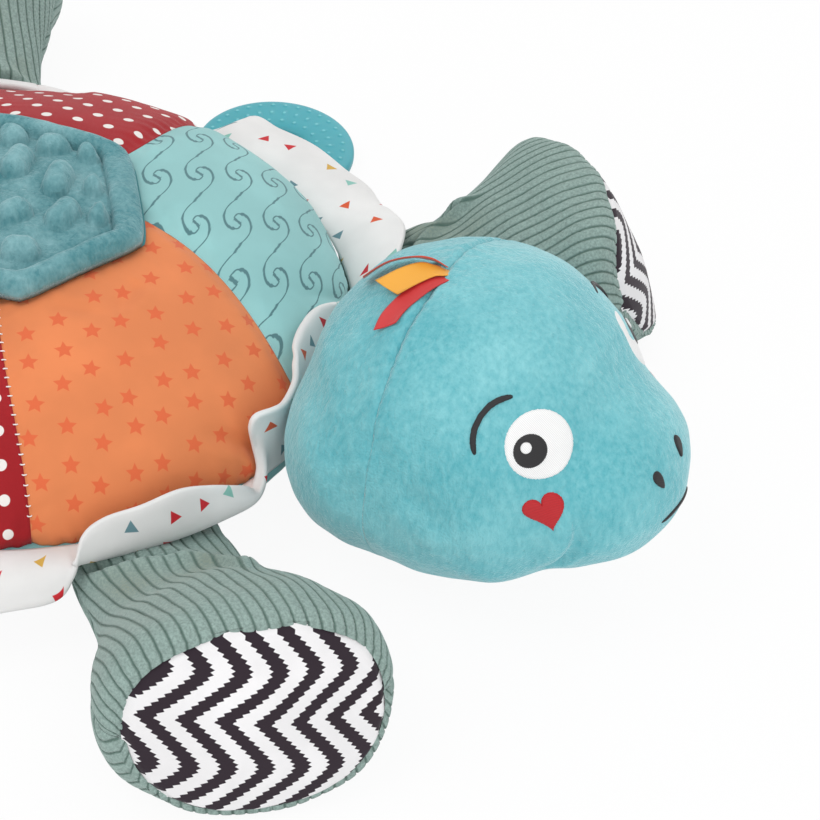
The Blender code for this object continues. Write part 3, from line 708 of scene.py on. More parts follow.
# Panel name, finish, slot, folds on its cloth: across and down from the top
panels = [
    ("wavePanelFrontLeft", "waveCotton", "wave_cotton", "shell_panel_front_left",
     [(-30, 175, -52, 118, 3.0, 1.3), (-10, 178, -38, 150, 2.5, 1.1), (-34, 66, -18, 84, 3, 1.2),
      (-22, 60, -2, 74, 3, 1.0)]),
    ("dotPanelLeft", "dotCotton", "dot_cotton", "shell_panel_left",
     [(30, 172, 22, 140, 3, 0.9), (-40, 172, -28, 145, 3, 0.8), (-10, 128, 40, 118, 26, 2.2)]),
    ("starPanelRearLeft", "starCotton", "star_cotton", "shell_panel_rear_left",
     [(36, 176, 20, 140, 3, 1.0), (-50, 170, -24, 138, 3, 0.9)]),
    ("wavePanelRearRight", "waveCotton", "wave_cotton", "shell_panel_rear_right",
     [(46, 174, 22, 140, 3, 1.0), (-44, 172, -28, 140, 3, 0.9)]),
    ("dotPanelRight", "dotCotton", "dot_cotton", "shell_panel_right",
     [(34, 172, 24, 142, 3, 0.8), (-38, 172, -26, 146, 3, 0.8)]),
    ("starPanelFrontRight", "starCotton", "star_cotton", "shell_panel_front_right",
     [(62, 168, 12, 138, 3.6, 2.6), (58, 174, 30, 150, 3, 2.0), (24, 66, 4, 78, 3.2, 1.4),
      (-16, 62, 2, 76, 3, 0.9)]),
]


# How far each seam leans round, in degrees, at its inner end and at the rim
seamLeans = [(23, -8), (3, 17), (0, 10), (0, 5), (0, 0), (-10, -1.5)]


def seamAzimuth(index, radius):
    # The seams bend as they come down, because the toy lies a little twisted
    inner, outer = np.radians(seamLeans[index % shell["panels"]])
    down = np.clip((radius - shell["topApothem"]) / (shell["radius"] - shell["topApothem"]), 0, 1)
    bend = outer + (inner - outer) * (1 - down) ** 1.5
    return np.radians(shell["turn"]) + index * 2 * pi / shell["panels"] + bend


def makePanels():
    tuck = shell["tuck"]
    edge = np.linspace(-1, 1, 97)
    side = np.concatenate(([-1, -1], edge, [1, 1]))
    sunk = np.concatenate(([tuck, tuck / 2], np.zeros(len(edge)), [tuck / 2, tuck]))
    across, downs = np.meshgrid(side, (side + 1) / 2)
    tucked = np.maximum(*np.meshgrid(sunk, sunk))
    for index, (name, finish, slot, node, folds) in enumerate(panels):
        inner = np.full(across.shape, float(shell["topApothem"]))
        for _ in range(5):
            start, end = (seamAzimuth(index + k, inner) for k in (0, 1))
            inner = hexagonRadius(shell["topApothem"], (start + end + across * (end - start)) / 2)
        inner = np.arcsin(inner / shell["radius"])
        swing = inner + downs * (pi / 2 - inner)
        radius = shell["radius"] * np.sin(swing)
        first, last = (seamAzimuth(index + k, radius) for k in (0, 1))
        middle = (seamAzimuth(index, shell["radius"]) + seamAzimuth(index + 1, shell["radius"])) / 2
        azimuth = (first + last + across * (last - first)) / 2
        half = (last - first) / 2
        u, v = domeFlat(swing, azimuth - middle)
        fromSeam = (1 - np.abs(across)) * half * radius
        fromTop = (swing - inner) * shell["radius"]
        fromRim = np.interp(pi / 2, swingTable, domeRun) - np.interp(swing, swingTable, domeRun)
        dip = shell["seamDip"] * bell(fromSeam, shell["seamReach"])
        dip = dip + 1.6 * bell(fromTop, 4.0) + 1.0 * bell(fromRim, 4.0)
        ripple = softNoise(index + 5, 9.0, v) * np.exp(-fromSeam / 8) * smoothStep(fromSeam / 2)
        ripple = ripple + softNoise(index + 15, 11.0, u) * np.exp(-fromRim / 9) * 1.6
        ripple = ripple + softNoise(index + 25, 10.0, u) * np.exp(-fromTop / 8) * 1.2
        swell = softNoise(index + 35, 70.0, u, v) * 0.8
        inset = dip + tucked + shell["pucker"] * ripple - swell * smoothStep(fromSeam / 15)
        inset = inset + creased(u, v, folds)
        points = domePoint(radius, azimuth, inset)
        panel = gridPiece(name, points, np.stack((u, v), -1), inside=(0, 0, 0))
        dress(panel, "shell", finishes[finish], [node])
        run = np.interp(swing, swingTable, domeRun)
        size, area = cutSize(np.stack(((azimuth - middle) * radius, run), -1))


def makeTopPanel():
    # The middle of the shell under the flap: its edge is tucked into the seam
    shares = np.concatenate((np.linspace(0, 1, 40), [1.0, 1.0]))
    sunk = np.concatenate((np.zeros(40), [2, shell["tuck"]]))
    azimuths = np.linspace(0, 2 * pi, 181)
    share, azimuth = np.meshgrid(shares, azimuths, indexing="ij")
    edge = hexagonRadius(shell["topApothem"], azimuth)
    radius = share * edge
    swing = np.arcsin(radius / shell["radius"])
    u, v = domeFlat(swing, azimuth)
    fromEdge = (1 - share) * edge
    ripple = softNoise(41, 12.0, edge * azimuth) * np.exp(-fromEdge / 8) * 0.5
    inset = sunk[:, None] + 1.8 * bell(fromEdge, 4.5) + ripple * smoothStep(fromEdge / 2)
    panel = gridPiece("topPanel", domePoint(radius, azimuth, inset), np.stack((u, v), -1),
                      inside=(0, 0, 0))
    dress(panel, "shell", finishes["plainCotton"], ["shell_top_panel"])


def makeBelly():
    # The lower half: it pulls in from the rim to the flat base, gathered a little at the rim
    shares = np.concatenate(([0, 0], np.linspace(0, 2, 90)))
    sunk = np.concatenate(([shell["tuck"], 2], np.zeros(90)))
    azimuths = np.linspace(0, 2 * pi, 361)
    share, azimuth = np.meshgrid(shares, azimuths, indexing="ij")
    ripple = softNoise(51, 13.0, azimuth * shell["radius"]) * np.exp(-share / 0.25) * 0.6
    side = bowlPoint(np.minimum(share, 1), azimuth, sunk[:, None])
    flatShare = np.clip(2 - share, 0, 1)
    points = side * np.stack((flatShare, flatShare, np.ones_like(share)), -1)
    side = 1 + ripple * (share < 1) / shell["radius"]
    points = points * np.stack((side, side, np.ones_like(share)), -1)
    u, v = points[..., 0] * 1.1, points[..., 1] * 1.1
    belly = gridPiece("bellyPanel", points, np.stack((u, v), -1), inside=(0, 0, shell["rimHeight"]))
    dress(belly, "shell", finishes["plainCotton"], ["belly_panel", "shell_filling"])


stitches = {"seam": 5, "thread": 0.3, "step": 4.2, "half": 0.9, "first": 58, "last": 144.5}


def makeSeamStitches():
    # One white thread: it crosses the seam on top, then runs on to the next stitch under the cloth
    inner, outer = (float(np.interp(np.arcsin(stitches[k] / shell["radius"]), swingTable, domeRun))
                    for k in ("first", "last"))
    count = int((outer - inner) / stitches["step"])
    run = np.linspace(0, count, count * 24 + 1)
    whole = np.floor(run)
    crossing = np.clip((run - whole) / 0.45, 0, 1)
    onward = smoothStep((run - whole - 0.45) / 0.55)
    aside = stitches["half"] * np.cos(pi * (whole + smoothStep(crossing)))
    under = 1 - bell((crossing - 0.5) * (crossing < 1) + 0.6 * (crossing >= 1), 0.42)
    swing = np.interp(inner + (whole + onward) * stitches["step"], domeRun, swingTable)
    radius = shell["radius"] * np.sin(swing)
    azimuth = seamAzimuth(stitches["seam"], radius) + aside / radius
    inset = shell["seamDip"] * bell(aside, shell["seamReach"]) - 0.55 + 1.9 * under
    path = domePoint(radius, azimuth, inset)
    way = np.gradient(path, axis=0)
    way /= np.linalg.norm(way, axis=1, keepdims=True)
    up = np.stack((np.sin(swing) * np.cos(azimuth), np.sin(swing) * np.sin(azimuth), np.cos(swing)), -1)
    side = np.cross(way, up)
    side /= np.linalg.norm(side, axis=1, keepdims=True)
    up = np.cross(side, way)
    turn = np.linspace(0, 2 * pi, 9)[:, None, None]
    taper = np.sin(np.linspace(0, pi, len(path)))[:, None] ** 0.05
    thread = path + stitches["thread"] * taper * (side * np.cos(turn) + up * np.sin(turn))
    flat = np.stack(np.broadcast_arrays(stitches["thread"] * turn[..., 0], run * 6), -1)
    piece = gridPiece("seamStitches", thread, flat, closed=True)
    dress(piece, "shell", finishes["whiteStitch"])


makePanels()
makeSeamStitches()
makeTopPanel()
makeBelly()
print("shell made")


# Ruffle

headTurn = -8.2
headings = {"front_right": -41.5, "front_left": 34, "rear_right": -126, "rear_left": 126}
ruffle = {"thick": 2.4, "seam": (147.8, 29.2), "gather": 1.3, "gatherPitch": 10, "length": 1.25,
          "full": 1.25}
# Round the toy from its rear right leg: direction, out and up of the middle of the ruffle's
# width, then of its hem, and how far round each of the two is drawn from the seam
ruffleRows = np.array([
    (-150, 164, 30, 180, 17, 0, 0), (-142, 162, 33, 172, 28, 0, 0), (-134, 158, 34, 157, 46, 0, 0),
    (-126, 158, 33, 152, 50, 0, 0), (-118, 158, 34, 157, 46, 0, 0), (-112, 162, 32, 170, 32, 0, 1),
    (-105, 163, 31, 177, 22, 0, 0), (-97, 163, 31, 174, 27, 0, 0), (-88, 163, 31, 178, 21, 0, 0),
    (-79, 163, 31, 174, 27, 0, 0), (-70, 163, 31, 177, 23, 0, 0), (-62, 163, 31, 173, 24, 0, 0),
    (-57, 162, 32, 171, 26, 0, 1), (-54, 161, 33, 166, 32, 0, 0.5), (-51, 160, 33, 158, 43, 0, -0.5),
    (-47, 159, 33, 155, 48, 0, -1), (-42, 159, 33, 155, 50, 0, -0.5), (-36, 159, 33, 155, 52, 0, -0.5),
    (-30, 159, 32.5, 155, 47, 0, -1), (-25, 159, 32, 155, 38, 0, -0.5),
    (-22, 156, 33, 153, 31, 0, -1), (-20, 152, 37, 150, 37, 0, -0.5),
    (-18.5, 149, 42, 146, 46, -0.5, -1.5), (-17, 148, 47, 146, 57, -1.5, -4),
    (-15.5, 148, 48, 147, 63, -1, -4.5), (-13.5, 148, 46, 148, 61, -0.5, -2.5),
    (-11, 147, 46, 146, 58, -0.5, -1.5), (-8, 146, 49, 144, 61, -0.5, -1),
    (-5, 142, 53, 139.5, 63, 0, -1), (-1, 138, 57, 134, 63, 0, -0.5), (4, 137, 57, 132, 62, 0, 0),
    (10, 138, 57, 134, 59, 0, 0), (16, 145, 50, 146, 55, 0, 0), (21, 153, 43, 157, 51, 0, 1),
    (26, 157, 42, 161, 49, 0, 0), (33, 159, 41, 169, 45, 0, 0.5), (40, 161, 39, 176, 42, 0, 0),
    (46, 162, 36, 177, 36, 0, 0.5), (50, 162, 33, 178, 31, 0, 0), (55, 163, 33, 180, 30, 0, 0),
    (61, 163, 32, 180, 28, 0, 0), (68, 164, 33, 180, 29, 0, 0), (75, 163, 32, 179, 28, 0, 0),
    (80, 163, 32, 179, 28, 0, 0), (83.5, 158, 28, 167, 20, 0, -1.5), (88, 155, 27, 158, 18, 0, -2),
    (94, 155, 26.5, 158, 17, 0, 0), (100, 155, 27, 159, 18, 0, 0), (106, 157, 29, 161, 22, 0, 0),
    (112, 159, 33, 161, 28, 0, 0), (119, 159, 36, 154, 39, 0, 0),
    (126, 160, 38, 153, 42, 0, 0), (134, 160, 37, 155, 39, 0, 0), (142, 162, 33, 168, 29, 0, 0),
    (149, 164, 30, 180, 19, 0, 0), (157, 164, 31, 176, 24, 0, 0), (165, 164, 30, 181, 15, 0, 0),
    (173, 164, 31, 176, 23, 0, 0), (181, 164, 30, 181, 15, 0, 0), (189, 164, 31, 176, 23, 0, 0),
    (197, 164, 30, 181, 15, 0, 0), (205, 164, 31, 177, 22, 0, 0)])


def rufflePoint(share, place):
    # From the seam by way of the middle to the hem, a curve of the second order in direction,
    # out and up
    count = len(ruffleRows)
    whole = np.array((360, 0, 0, 0, 0, 0, 0))
    rows = np.concatenate((ruffleRows[-1:] - whole, ruffleRows, ruffleRows[:2] + whole))
    slopes = (rows[2:] - rows[:-2]) / 2
    row = smoothRows(rows[1:-1], slopes, place % count)
    azimuth, midOut, midUp, hemOut, hemUp, midAside, hemAside = (row[..., k] for k in range(7))
    spot = []
    for start, middle, end in ((azimuth, azimuth + midAside, azimuth + hemAside),
                               (ruffle["seam"][0], midOut, hemOut), (ruffle["seam"][1], midUp, hemUp)):
        pull = 2 * middle - (start + end) / 2
        spot.append(start * (1 - share) ** 2 + 2 * pull * share * (1 - share) + end * share ** 2)
    way = np.radians(spot[0])
    return np.stack((spot[1] * np.cos(way), spot[1] * np.sin(way), spot[2]), -1), np.radians(azimuth)


def makeRuffle():
    # Two layers with a rounded fold at the hem, gathered in small pleats at the seam
    half = ruffle["thick"] / 2
    shares = np.linspace(0, 1, 24)
    share, place = np.meshgrid(shares, np.linspace(0, len(ruffleRows), 1201), indexing="ij")
    middle, azimuth = rufflePoint(share, place)
    facing = surfaceNormals(middle)
    run = azimuth * shell["radius"]
    pleats = softNoise(61, ruffle["gatherPitch"], run) * np.exp(-share / 0.3) * ruffle["gather"]
    swell = softNoise(62, 34.0, run) * share * 0.9 + softNoise(63, 19.0, run) * share * 0.5
    ends = smoothStep((run - run[:, :1]) / 20) * smoothStep((run[:, -1:] - run) / 20)
    middle = middle + facing * ((pleats * smoothStep(share / 0.06) + swell) * ends)[..., None]
    facing = surfaceNormals(middle)
    thick = (half * (1 + 0.3 * bell(share - 0.97, 0.06)))[..., None] * facing
    hem = middle[-1] - middle[-2]
    hem = hem / np.linalg.norm(hem, axis=1, keepdims=True) * half
    bend = np.linspace(pi / 2, -pi / 2, 7)[1:-1, None, None]
    turn = middle[-1] + np.sin(bend) * thick[-1] + np.cos(bend) * hem
    points = np.concatenate((middle + thick, turn, (middle - thick)[::-1], (middle + thick)[:1]))
    across = np.cumsum(np.concatenate((np.zeros((1, points.shape[1])), np.linalg.norm(
        np.diff(points, axis=0), axis=2))), axis=0)
    around = np.broadcast_to(run[:1] * ruffle["full"], across.shape)
    band = gridPiece("ruffleBand", points, np.stack((around, across), -1), inside=(0, 0, 0))
    dress(band, "shell", finishes["ruffleCotton"], ["ruffle"])


makeRuffle()
print("ruffle made")


# Flap

flap = {"apothem": 54.5, "gap": 0.8, "hem": 10.5, "hemHeight": 9.0, "pad": 2.8, "bubble": 9.2,
        "trim": 0.035, "lining": 1.2, "wideEdge": 33}
# Bubbles: middle, half of how far each is drawn out, and radius
bubbles = [(0, 39, 1.5, 1, 6.6), (16, 42, 0, 1, 5.8), (-19, 38, 1, -1, 6.8), (-7, 20, 0.5, -3.5, 7.0),
           (14, 17, -1, 4.5, 6.6), (29, 20, 0, 0, 5.0), (27, -3, 0.5, 3.5, 6.4), (9, -11, 1, 1.5, 6.6),
           (22, -30, 2, 1, 6.6), (-27, 16, 0, 2, 6.4), (-11, -5, 1.5, 0, 6.4), (-31, -7, 0, 1.5, 6.2),
           (-9, -26, 0, 2, 6.6), (-28, -27, 1, 1, 6.4), (5, -38, 2, 0, 6.2), (40, 4, 0, 1, 4.8),
           (-38, 25, 0.5, 1, 5.4), (-14, -43, 2, 0, 4.8)]


def edgeFacing(azimuth, heading):
    # 1 along the middle of the flap's edge that faces a heading, down to 0 past its corners
    away = np.degrees(np.abs((azimuth - np.radians(heading) + pi) % (2 * pi) - pi))
    return smoothStep((36 - away) / 12)


def flapHeight(x, y, fromEdge):
    # The slack pad, steep bubbles on it, and the rolled hem round the edge
    wide = edgeFacing(np.arctan2(y, x), flap["wideEdge"])
    slack = softNoise(72, 30.0, x, y) * 1.1 + softNoise(73, 13.0, x, y) * 0.5
    height = np.full(x.shape, float(flap["pad"])) + slack
    for midX, midY, longX, longY, radius in bubbles:
        length = max(np.hypot(longX, longY), 1e-6)
        along = np.clip(((x - midX) * longX + (y - midY) * longY) / length, -length, length) / length
        away = np.hypot(x - midX - along * longX, y - midY - along * longY) / radius
        dome = np.sqrt(np.clip(1 - (away * 1.1) ** 2, 0, 1))
        foot = bell(away, 1.2) * 0.15
        height = np.maximum(height, flap["pad"] + slack * 0.4 + flap["bubble"] * (dome * 0.85 + foot) - 0.8)
    hemWidth = flap["hem"] + 2.6 * wide
    hemShare = np.clip(1 - fromEdge / hemWidth, 0, 1)
    power = 0.8 - 0.3 * wide
    hem = (flap["hemHeight"] - 2.2 * wide) * np.sqrt(np.clip(1 - (2 * hemShare - 1) ** 2, 0, 1)) ** power
    inHem = smoothStep((hemWidth - fromEdge) / 1.6 + 0.5)
    near = smoothStep((fromEdge - hemWidth + 1) / 5)
    quilt = flap["pad"] * 0.75 + (height - flap["pad"] * 0.75) * near
    return quilt * (1 - inHem) + np.maximum(hem, 0) * inHem


def makeFlap():
    inner = np.linspace(0, 1, 130)[:-1]
    edge = 1 - np.linspace(flap["hem"], 0, 30) / flap["apothem"]
    shares = np.concatenate((inner[inner < edge[0]], edge))
    azimuths = np.linspace(0, 2 * pi, 505)
    share, azimuth = np.meshgrid(shares, azimuths, indexing="ij")
    reach = hexagonRadius(flap["apothem"], azimuth, flap["trim"])
    radius = share * reach
    fromEdge = (1 - share) * flap["apothem"]
    x, y = radius * np.cos(azimuth), radius * np.sin(azimuth)
    height = flapHeight(x, y, fromEdge)
    wobble = softNoise(71, 16.0, x, y) * 0.45
    top = domePoint(radius, azimuth, 0, flap["gap"] + np.maximum(height + wobble, 0.3))
    under = np.concatenate((shares[::-1][1:16], np.linspace(shares[-16], 0, 24)[1:]))
    share2, azimuth2 = np.meshgrid(under, azimuths, indexing="ij")
    radius2 = share2 * hexagonRadius(flap["apothem"], azimuth2, flap["trim"])
    low = flap["hemHeight"] * 0.5 * (1 - np.sqrt(np.clip(
        1 - np.clip(1 - (1 - share2) * flap["apothem"] / 4.5, 0, 1) ** 2, 0, 1)))
    floorHeight = np.where(share2 > edge[0], low, flap["lining"] + 0.5)
    bottom = domePoint(radius2, azimuth2, 0, flap["gap"] + floorHeight)
    points = np.concatenate((top, bottom))
    every = np.concatenate((radius, radius2)), np.concatenate((azimuth, azimuth2))
    flat = np.stack((every[0] * np.cos(every[1]), every[0] * np.sin(every[1])), -1)
    cover = gridPiece("flapCover", points, flat, inside=(0, 0, 87))
    dress(cover, "flap", finishes["flapPlush"], ["flap_top"])

    shares = np.linspace(0, 1, 50)
    share, azimuth = np.meshgrid(np.concatenate((shares, shares[::-1])), azimuths[::3], indexing="ij")
    thick = np.concatenate((np.full(50, flap["lining"]), np.zeros(50)))[:, None]
    spare = 4.6 * edgeFacing(azimuth, flap["wideEdge"] - 4)
    radius = share * hexagonRadius(flap["apothem"] - 4.0 + spare, azimuth, flap["trim"])
    x, y = radius * np.cos(azimuth), radius * np.sin(azimuth)
    points = domePoint(radius, azimuth, 0, flap["gap"] + thick * 0.9 - 0.1)
    lining = gridPiece("flapLining", points, np.stack((x, y), -1), inside=(0, 0, 84), closed=True)
    dress(lining, "flap", finishes["liningCotton"], ["flap_lining"])


makeFlap()
print("flap made")


# Legs

leg = {"hingeHeight": 24, "bead": 1.6, "halfWidth": 54, "rise": 55,
       "clearance": 0.8, "bulge": 4, "lean": 0.3, "square": 0.87, "gap": 0.5,
       "cordDepth": 1.0, "pile": 0.5}
# Along the leg: share of its length, of the foot's half width, of the drop and of the rise
legShares = np.array([
    (0.000, 0.59, 0.067, 0.025), (0.065, 0.60, 0.38, 0.08), (0.165, 0.61, 0.67, 0.15),
    (0.245, 0.61, 0.82, 0.25), (0.39, 0.65, 0.93, 0.43), (0.57, 0.80, 0.99, 0.72),
    (0.78, 0.97, 1.00, 0.94), (0.92, 1.00, 1.00, 1.00), (1.00, 0.93, 0.90, 0.98)])
# Length, how far the sole faces round to the toy's right and how far up, as slopes,
# and how far its two ends round back
legForms = {"front_right": (117, 0.18, 0.34, 5), "front_left": (126, -0.14, 0.42, 24),
            "rear_right": (118, 0, 0.3, 6), "rear_left": (118, 0, 0.3, 6)}


def legRow(place):
    curve = smoothRows(legShares, np.gradient(legShares, axis=0), place)
    return [curve[..., k] for k in range(4)]


def legPoint(name, place, azimuth, across=1, bulge=0):
    # A rounded box section that grows from the flat root to the foot
    length, width, drop, rise = legRow(place)
    low = -drop * (leg["hingeHeight"] - leg["clearance"])
    high = rise * leg["rise"]
    side = width * leg["halfWidth"] * signedPower(np.cos(azimuth), leg["square"])
    up = (low + high) / 2 + across * (high - low) / 2 * signedPower(np.sin(azimuth), leg["square"])
    mean = leg["rise"] / 2 - leg["hingeHeight"] / 2
    long, turn, lean, rounding = legForms[name]
    slant = lean * (mean - up) + turn * side * across
    slant = slant - rounding * (side * across / leg["halfWidth"]) ** 2
    out = length * long + slant * length ** 3 + bulge
    return np.stack(np.broadcast_arrays(out, side * across, up), -1)


def makeLeg(name, heading):
    reach = rimReach(leg["hingeHeight"]) + leg["gap"] + leg["bead"]
    hinge = (reach * np.cos(np.radians(heading)), reach * np.sin(np.radians(heading)),
             leg["hingeHeight"])
    seed = int(heading) % 97
    places = np.concatenate(([-0.02], np.linspace(0, 8, 110), [8.0, 8.0]))
    angles = np.linspace(-pi / 2, 3 * pi / 2, 541)
    place, angle = np.meshgrid(places, angles, indexing="ij")
    tucked = np.ones_like(place)
    tucked[-2], tucked[-1] = 0.975, 0.94
    points = legPoint(name, np.clip(place, 0, 8), angle, tucked)
    points[0] = (-leg["bead"], 0, 0)
    along = np.cumsum(np.concatenate((np.zeros((1, place.shape[1])), np.linalg.norm(
        np.diff(points, axis=0), axis=2))), axis=0)
    # Cloth runs out from the middle of the top and of the underside to the two side seams
    around = np.concatenate((np.zeros((place.shape[0], 1)), np.cumsum(np.linalg.norm(
        np.diff(points, axis=1), axis=2), axis=1)), axis=1)
    quarter = (len(angles) - 1) // 4
    fromTop = np.abs(around - around[:, 2 * quarter:2 * quarter + 1])
    fromUnder = np.minimum(around, around[:, -1:] - around)
    upper = np.sin(angle) > 0
    u = np.where(upper, fromTop, fromUnder + 2.75) * np.sign(np.cos(angle) + 1e-9)
    fromSeam = np.minimum(np.abs(around - around[:, quarter:quarter + 1]),
                          np.abs(around - around[:, 3 * quarter:3 * quarter + 1]))
    ribs = np.abs(((u / cordCloth["pitch"] + 0.5) % 1) - 0.5) * 2
    ribHeight = leg["cordDepth"] * np.sqrt(np.clip(1 - ribs ** 6, 0, 1))
    atFoot = smoothStep((place - 0.4) / 0.8)
    lumps = softNoise(seed, 34.0, points[..., 0], points[..., 1], points[..., 2]) * 1.3
    topSide = np.clip(np.sin(angle) * 1.6, 0, 1)
    ankle = 29 + np.where(u > 0, 0.13, 0.018) * np.minimum(np.abs(u), 18) ** 2
    topSide = topSide * smoothStep((34 - np.abs(u)) / 14)
    fold = -6.5 * bell(along - ankle, 3.2) * topSide
    swell = 4.2 * bell(along - ankle - 7.5, 5) * topSide + 1.0 * bell(along - ankle + 9, 6) * topSide
    worn = topSide * bell(along - 58, 14)
    seam = -1.4 * bell(fromSeam, 1.8)
    soleSeam = -0.8 * bell((8 - place) * 8, 2.5)
    height = (ribHeight - 0.2) + atFoot * (lumps + fold + swell) + seam + soleSeam
    height = height * smoothStep(place / 0.35)
    height[:1] = 0
    moved = points + surfaceNormals(points) * height[..., None]
    moved[..., 2] = np.maximum(moved[..., 2], -leg["hingeHeight"] + 0.15)
    cover = gridPiece(name + "_cordCover", turned(moved, heading, hinge),
                      np.stack((u, along), -1), {"worn": worn})
    dress(cover, name + "_leg", finishes["corduroy"], [name + "_cover", name + "_filling"])

    rings = np.linspace(0, 0.965, 70)
    ring, angle = np.meshgrid(rings, np.linspace(0, 2 * pi, 241), indexing="ij")
    points = legPoint(name, np.full_like(ring, 8.0), angle, ring, leg["bulge"] * (1 - ring ** 2))
    edge = softNoise(seed + 3, 0.35, angle) * bell(ring - 1, 0.1) * 0.5
    dip = -2.2 * smoothStep((ring - 0.9) / 0.06) + edge
    soft = softNoise(seed + 4, 40.0, points[..., 1], points[..., 2]) * 0.8 * (1 - ring ** 4)
    points[..., 0] += dip + soft + 0.6
    sole = gridPiece(name + "_soleCloth", turned(points, heading, hinge),
                     np.stack((points[..., 1], points[..., 2]), -1), inside=(0, 0, 20))
    dress(sole, name + "_leg", finishes["zigzagCotton"], [name + "_sole"])
    # The sole is cut to its outline laid out in the outline's own plane
    plane = np.linalg.svd(points[-1] - points[-1].mean(axis=0), full_matrices=False)[2][:2]
    size, area = cutSize(points @ plane.T)


for legName, legHeading in headings.items():
    makeLeg(legName, legHeading)
print("legs made")


# Head

head = {"neckRadius": 12.5, "neckHeight": 18, "neckRise": 41, "gap": 0.5,
        "cranium": (67, 66, 62), "muzzle": (39, 42, 36), "muzzleAt": (51, 0, -8),
        "cheek": (38, 36, 32), "cheekAt": (16, 27, -19), "jowl": (41, 38, 36),
        "jowlAt": (-21, 32, -17), "blend": 11, "seamPolar": 106, "seamLean": -7, "pile": 0.9}
# Soft dents: place on the head and width, in millimetres, and depth
dents = [(-20, 70, -8, 8, 1.8), (9, 67, 1, 6, 1.5), (20, 66, -5, 6, 1.2), (-10, 62, 15, 7, 1.2),
         (34, 60, -22, 8, 1.2), (-42, 40, 12, 8, 1.2), (60, 30, 22, 8, 1.0), (36, 22, 52, 10, 1.0)]


def lobeDistance(ray, centre, radii):
    # Far crossing of a ray from the head's middle with one ellipsoid
    radii, centre = np.asarray(radii, float), np.asarray(centre, float)
    a = ((ray / radii) ** 2).sum(-1)
    b = (ray * centre / radii ** 2).sum(-1)
    c = ((centre / radii) ** 2).sum() - 1
    inside = b * b - a * c
    return np.where(inside > 0, np.maximum(0, (b + np.sqrt(np.maximum(inside, 0))) / a), 0)


def headDistance(ray):
    # The lobes run into one another: a high power mean of their distances
    x, y, z = head["cheekAt"]
    jx, jy, jz = head["jowlAt"]
    lobes = [((0, 0, 0), head["cranium"]), (head["muzzleAt"], head["muzzle"]),
             ((x, y, z), head["cheek"]), ((x, -y, z), head["cheek"]),
             ((jx, jy, jz), head["jowl"]), ((jx, -jy, jz), head["jowl"])]
    total = sum((lobeDistance(ray, c, r) / 146) ** head["blend"] for c, r in lobes)
    return 146 * total ** (1 / head["blend"])


awayRay = np.array((np.cos(np.radians(head["neckRise"])), 0, np.sin(np.radians(head["neckRise"]))))
headMiddle = awayRay * (float(headDistance(-awayRay)) + head["gap"] + head["neckRadius"])
neckPlace = (float(rimReach(head["neckHeight"])) + head["gap"] + head["neckRadius"], 0,
             head["neckHeight"])


def seamPolar(azimuth):
    return np.radians(head["seamPolar"] + head["seamLean"] * (1 - np.sin(azimuth)))


def headSkin(ray):
    # The head's own form with its seam, the puckers beside it and soft lumps
    polar = np.arccos(np.clip(ray[..., 0], -1, 1))
    azimuth = np.arctan2(ray[..., 2], ray[..., 1])
    reach = headDistance(ray)
    fromSeam = (polar - seamPolar(azimuth)) * reach
    around = azimuth * reach * np.sin(polar)
    spot = ray * reach[..., None]
    lumps = softNoise(81, 42.0, *(spot[..., k] for k in range(3))) * 1.0
    small = softNoise(82, 15.0, *(spot[..., k] for k in range(3))) * 0.35
    # The seam shows as a crease on top, and is hardly seen lower down where the pile closes
    shown = smoothStep((np.sin(azimuth) - 0.25) / 0.6) + 0.1
    groove = -1.7 * shown * bell(fromSeam, 1.4)
    puckers = softNoise(83, 8.0, around) * np.exp(-np.abs(fromSeam) / 7) * 0.4 * shown
    side = np.abs(spot[..., 1])
    latitude = np.degrees(np.arcsin(np.clip(ray[..., 2], -1, 1)))
    longitude = np.degrees(np.arctan2(side, spot[..., 0]))
    fromPinch = np.radians(longitude - 30.4 - 0.01 * (latitude + 4) ** 2) * reach
    taper = smoothStep((10 - latitude) / 20) * smoothStep((latitude + 30) / 12)
    pinch = -3.2 * taper * bell(fromPinch, 2.6) + 1.1 * taper * bell(fromPinch - 7, 5)
    dips = 0
    for x, y, z, width, deep in dents:
        away = np.sqrt((spot[..., 0] - x) ** 2 + (side - y) ** 2 + (spot[..., 2] - z) ** 2)
        dips = dips - deep * bell(away, width)
    return reach + head["pile"] + lumps + small + groove + puckers + pinch + dips


def headPlaced(points):
    return turned(points, headTurn, neckPlace)


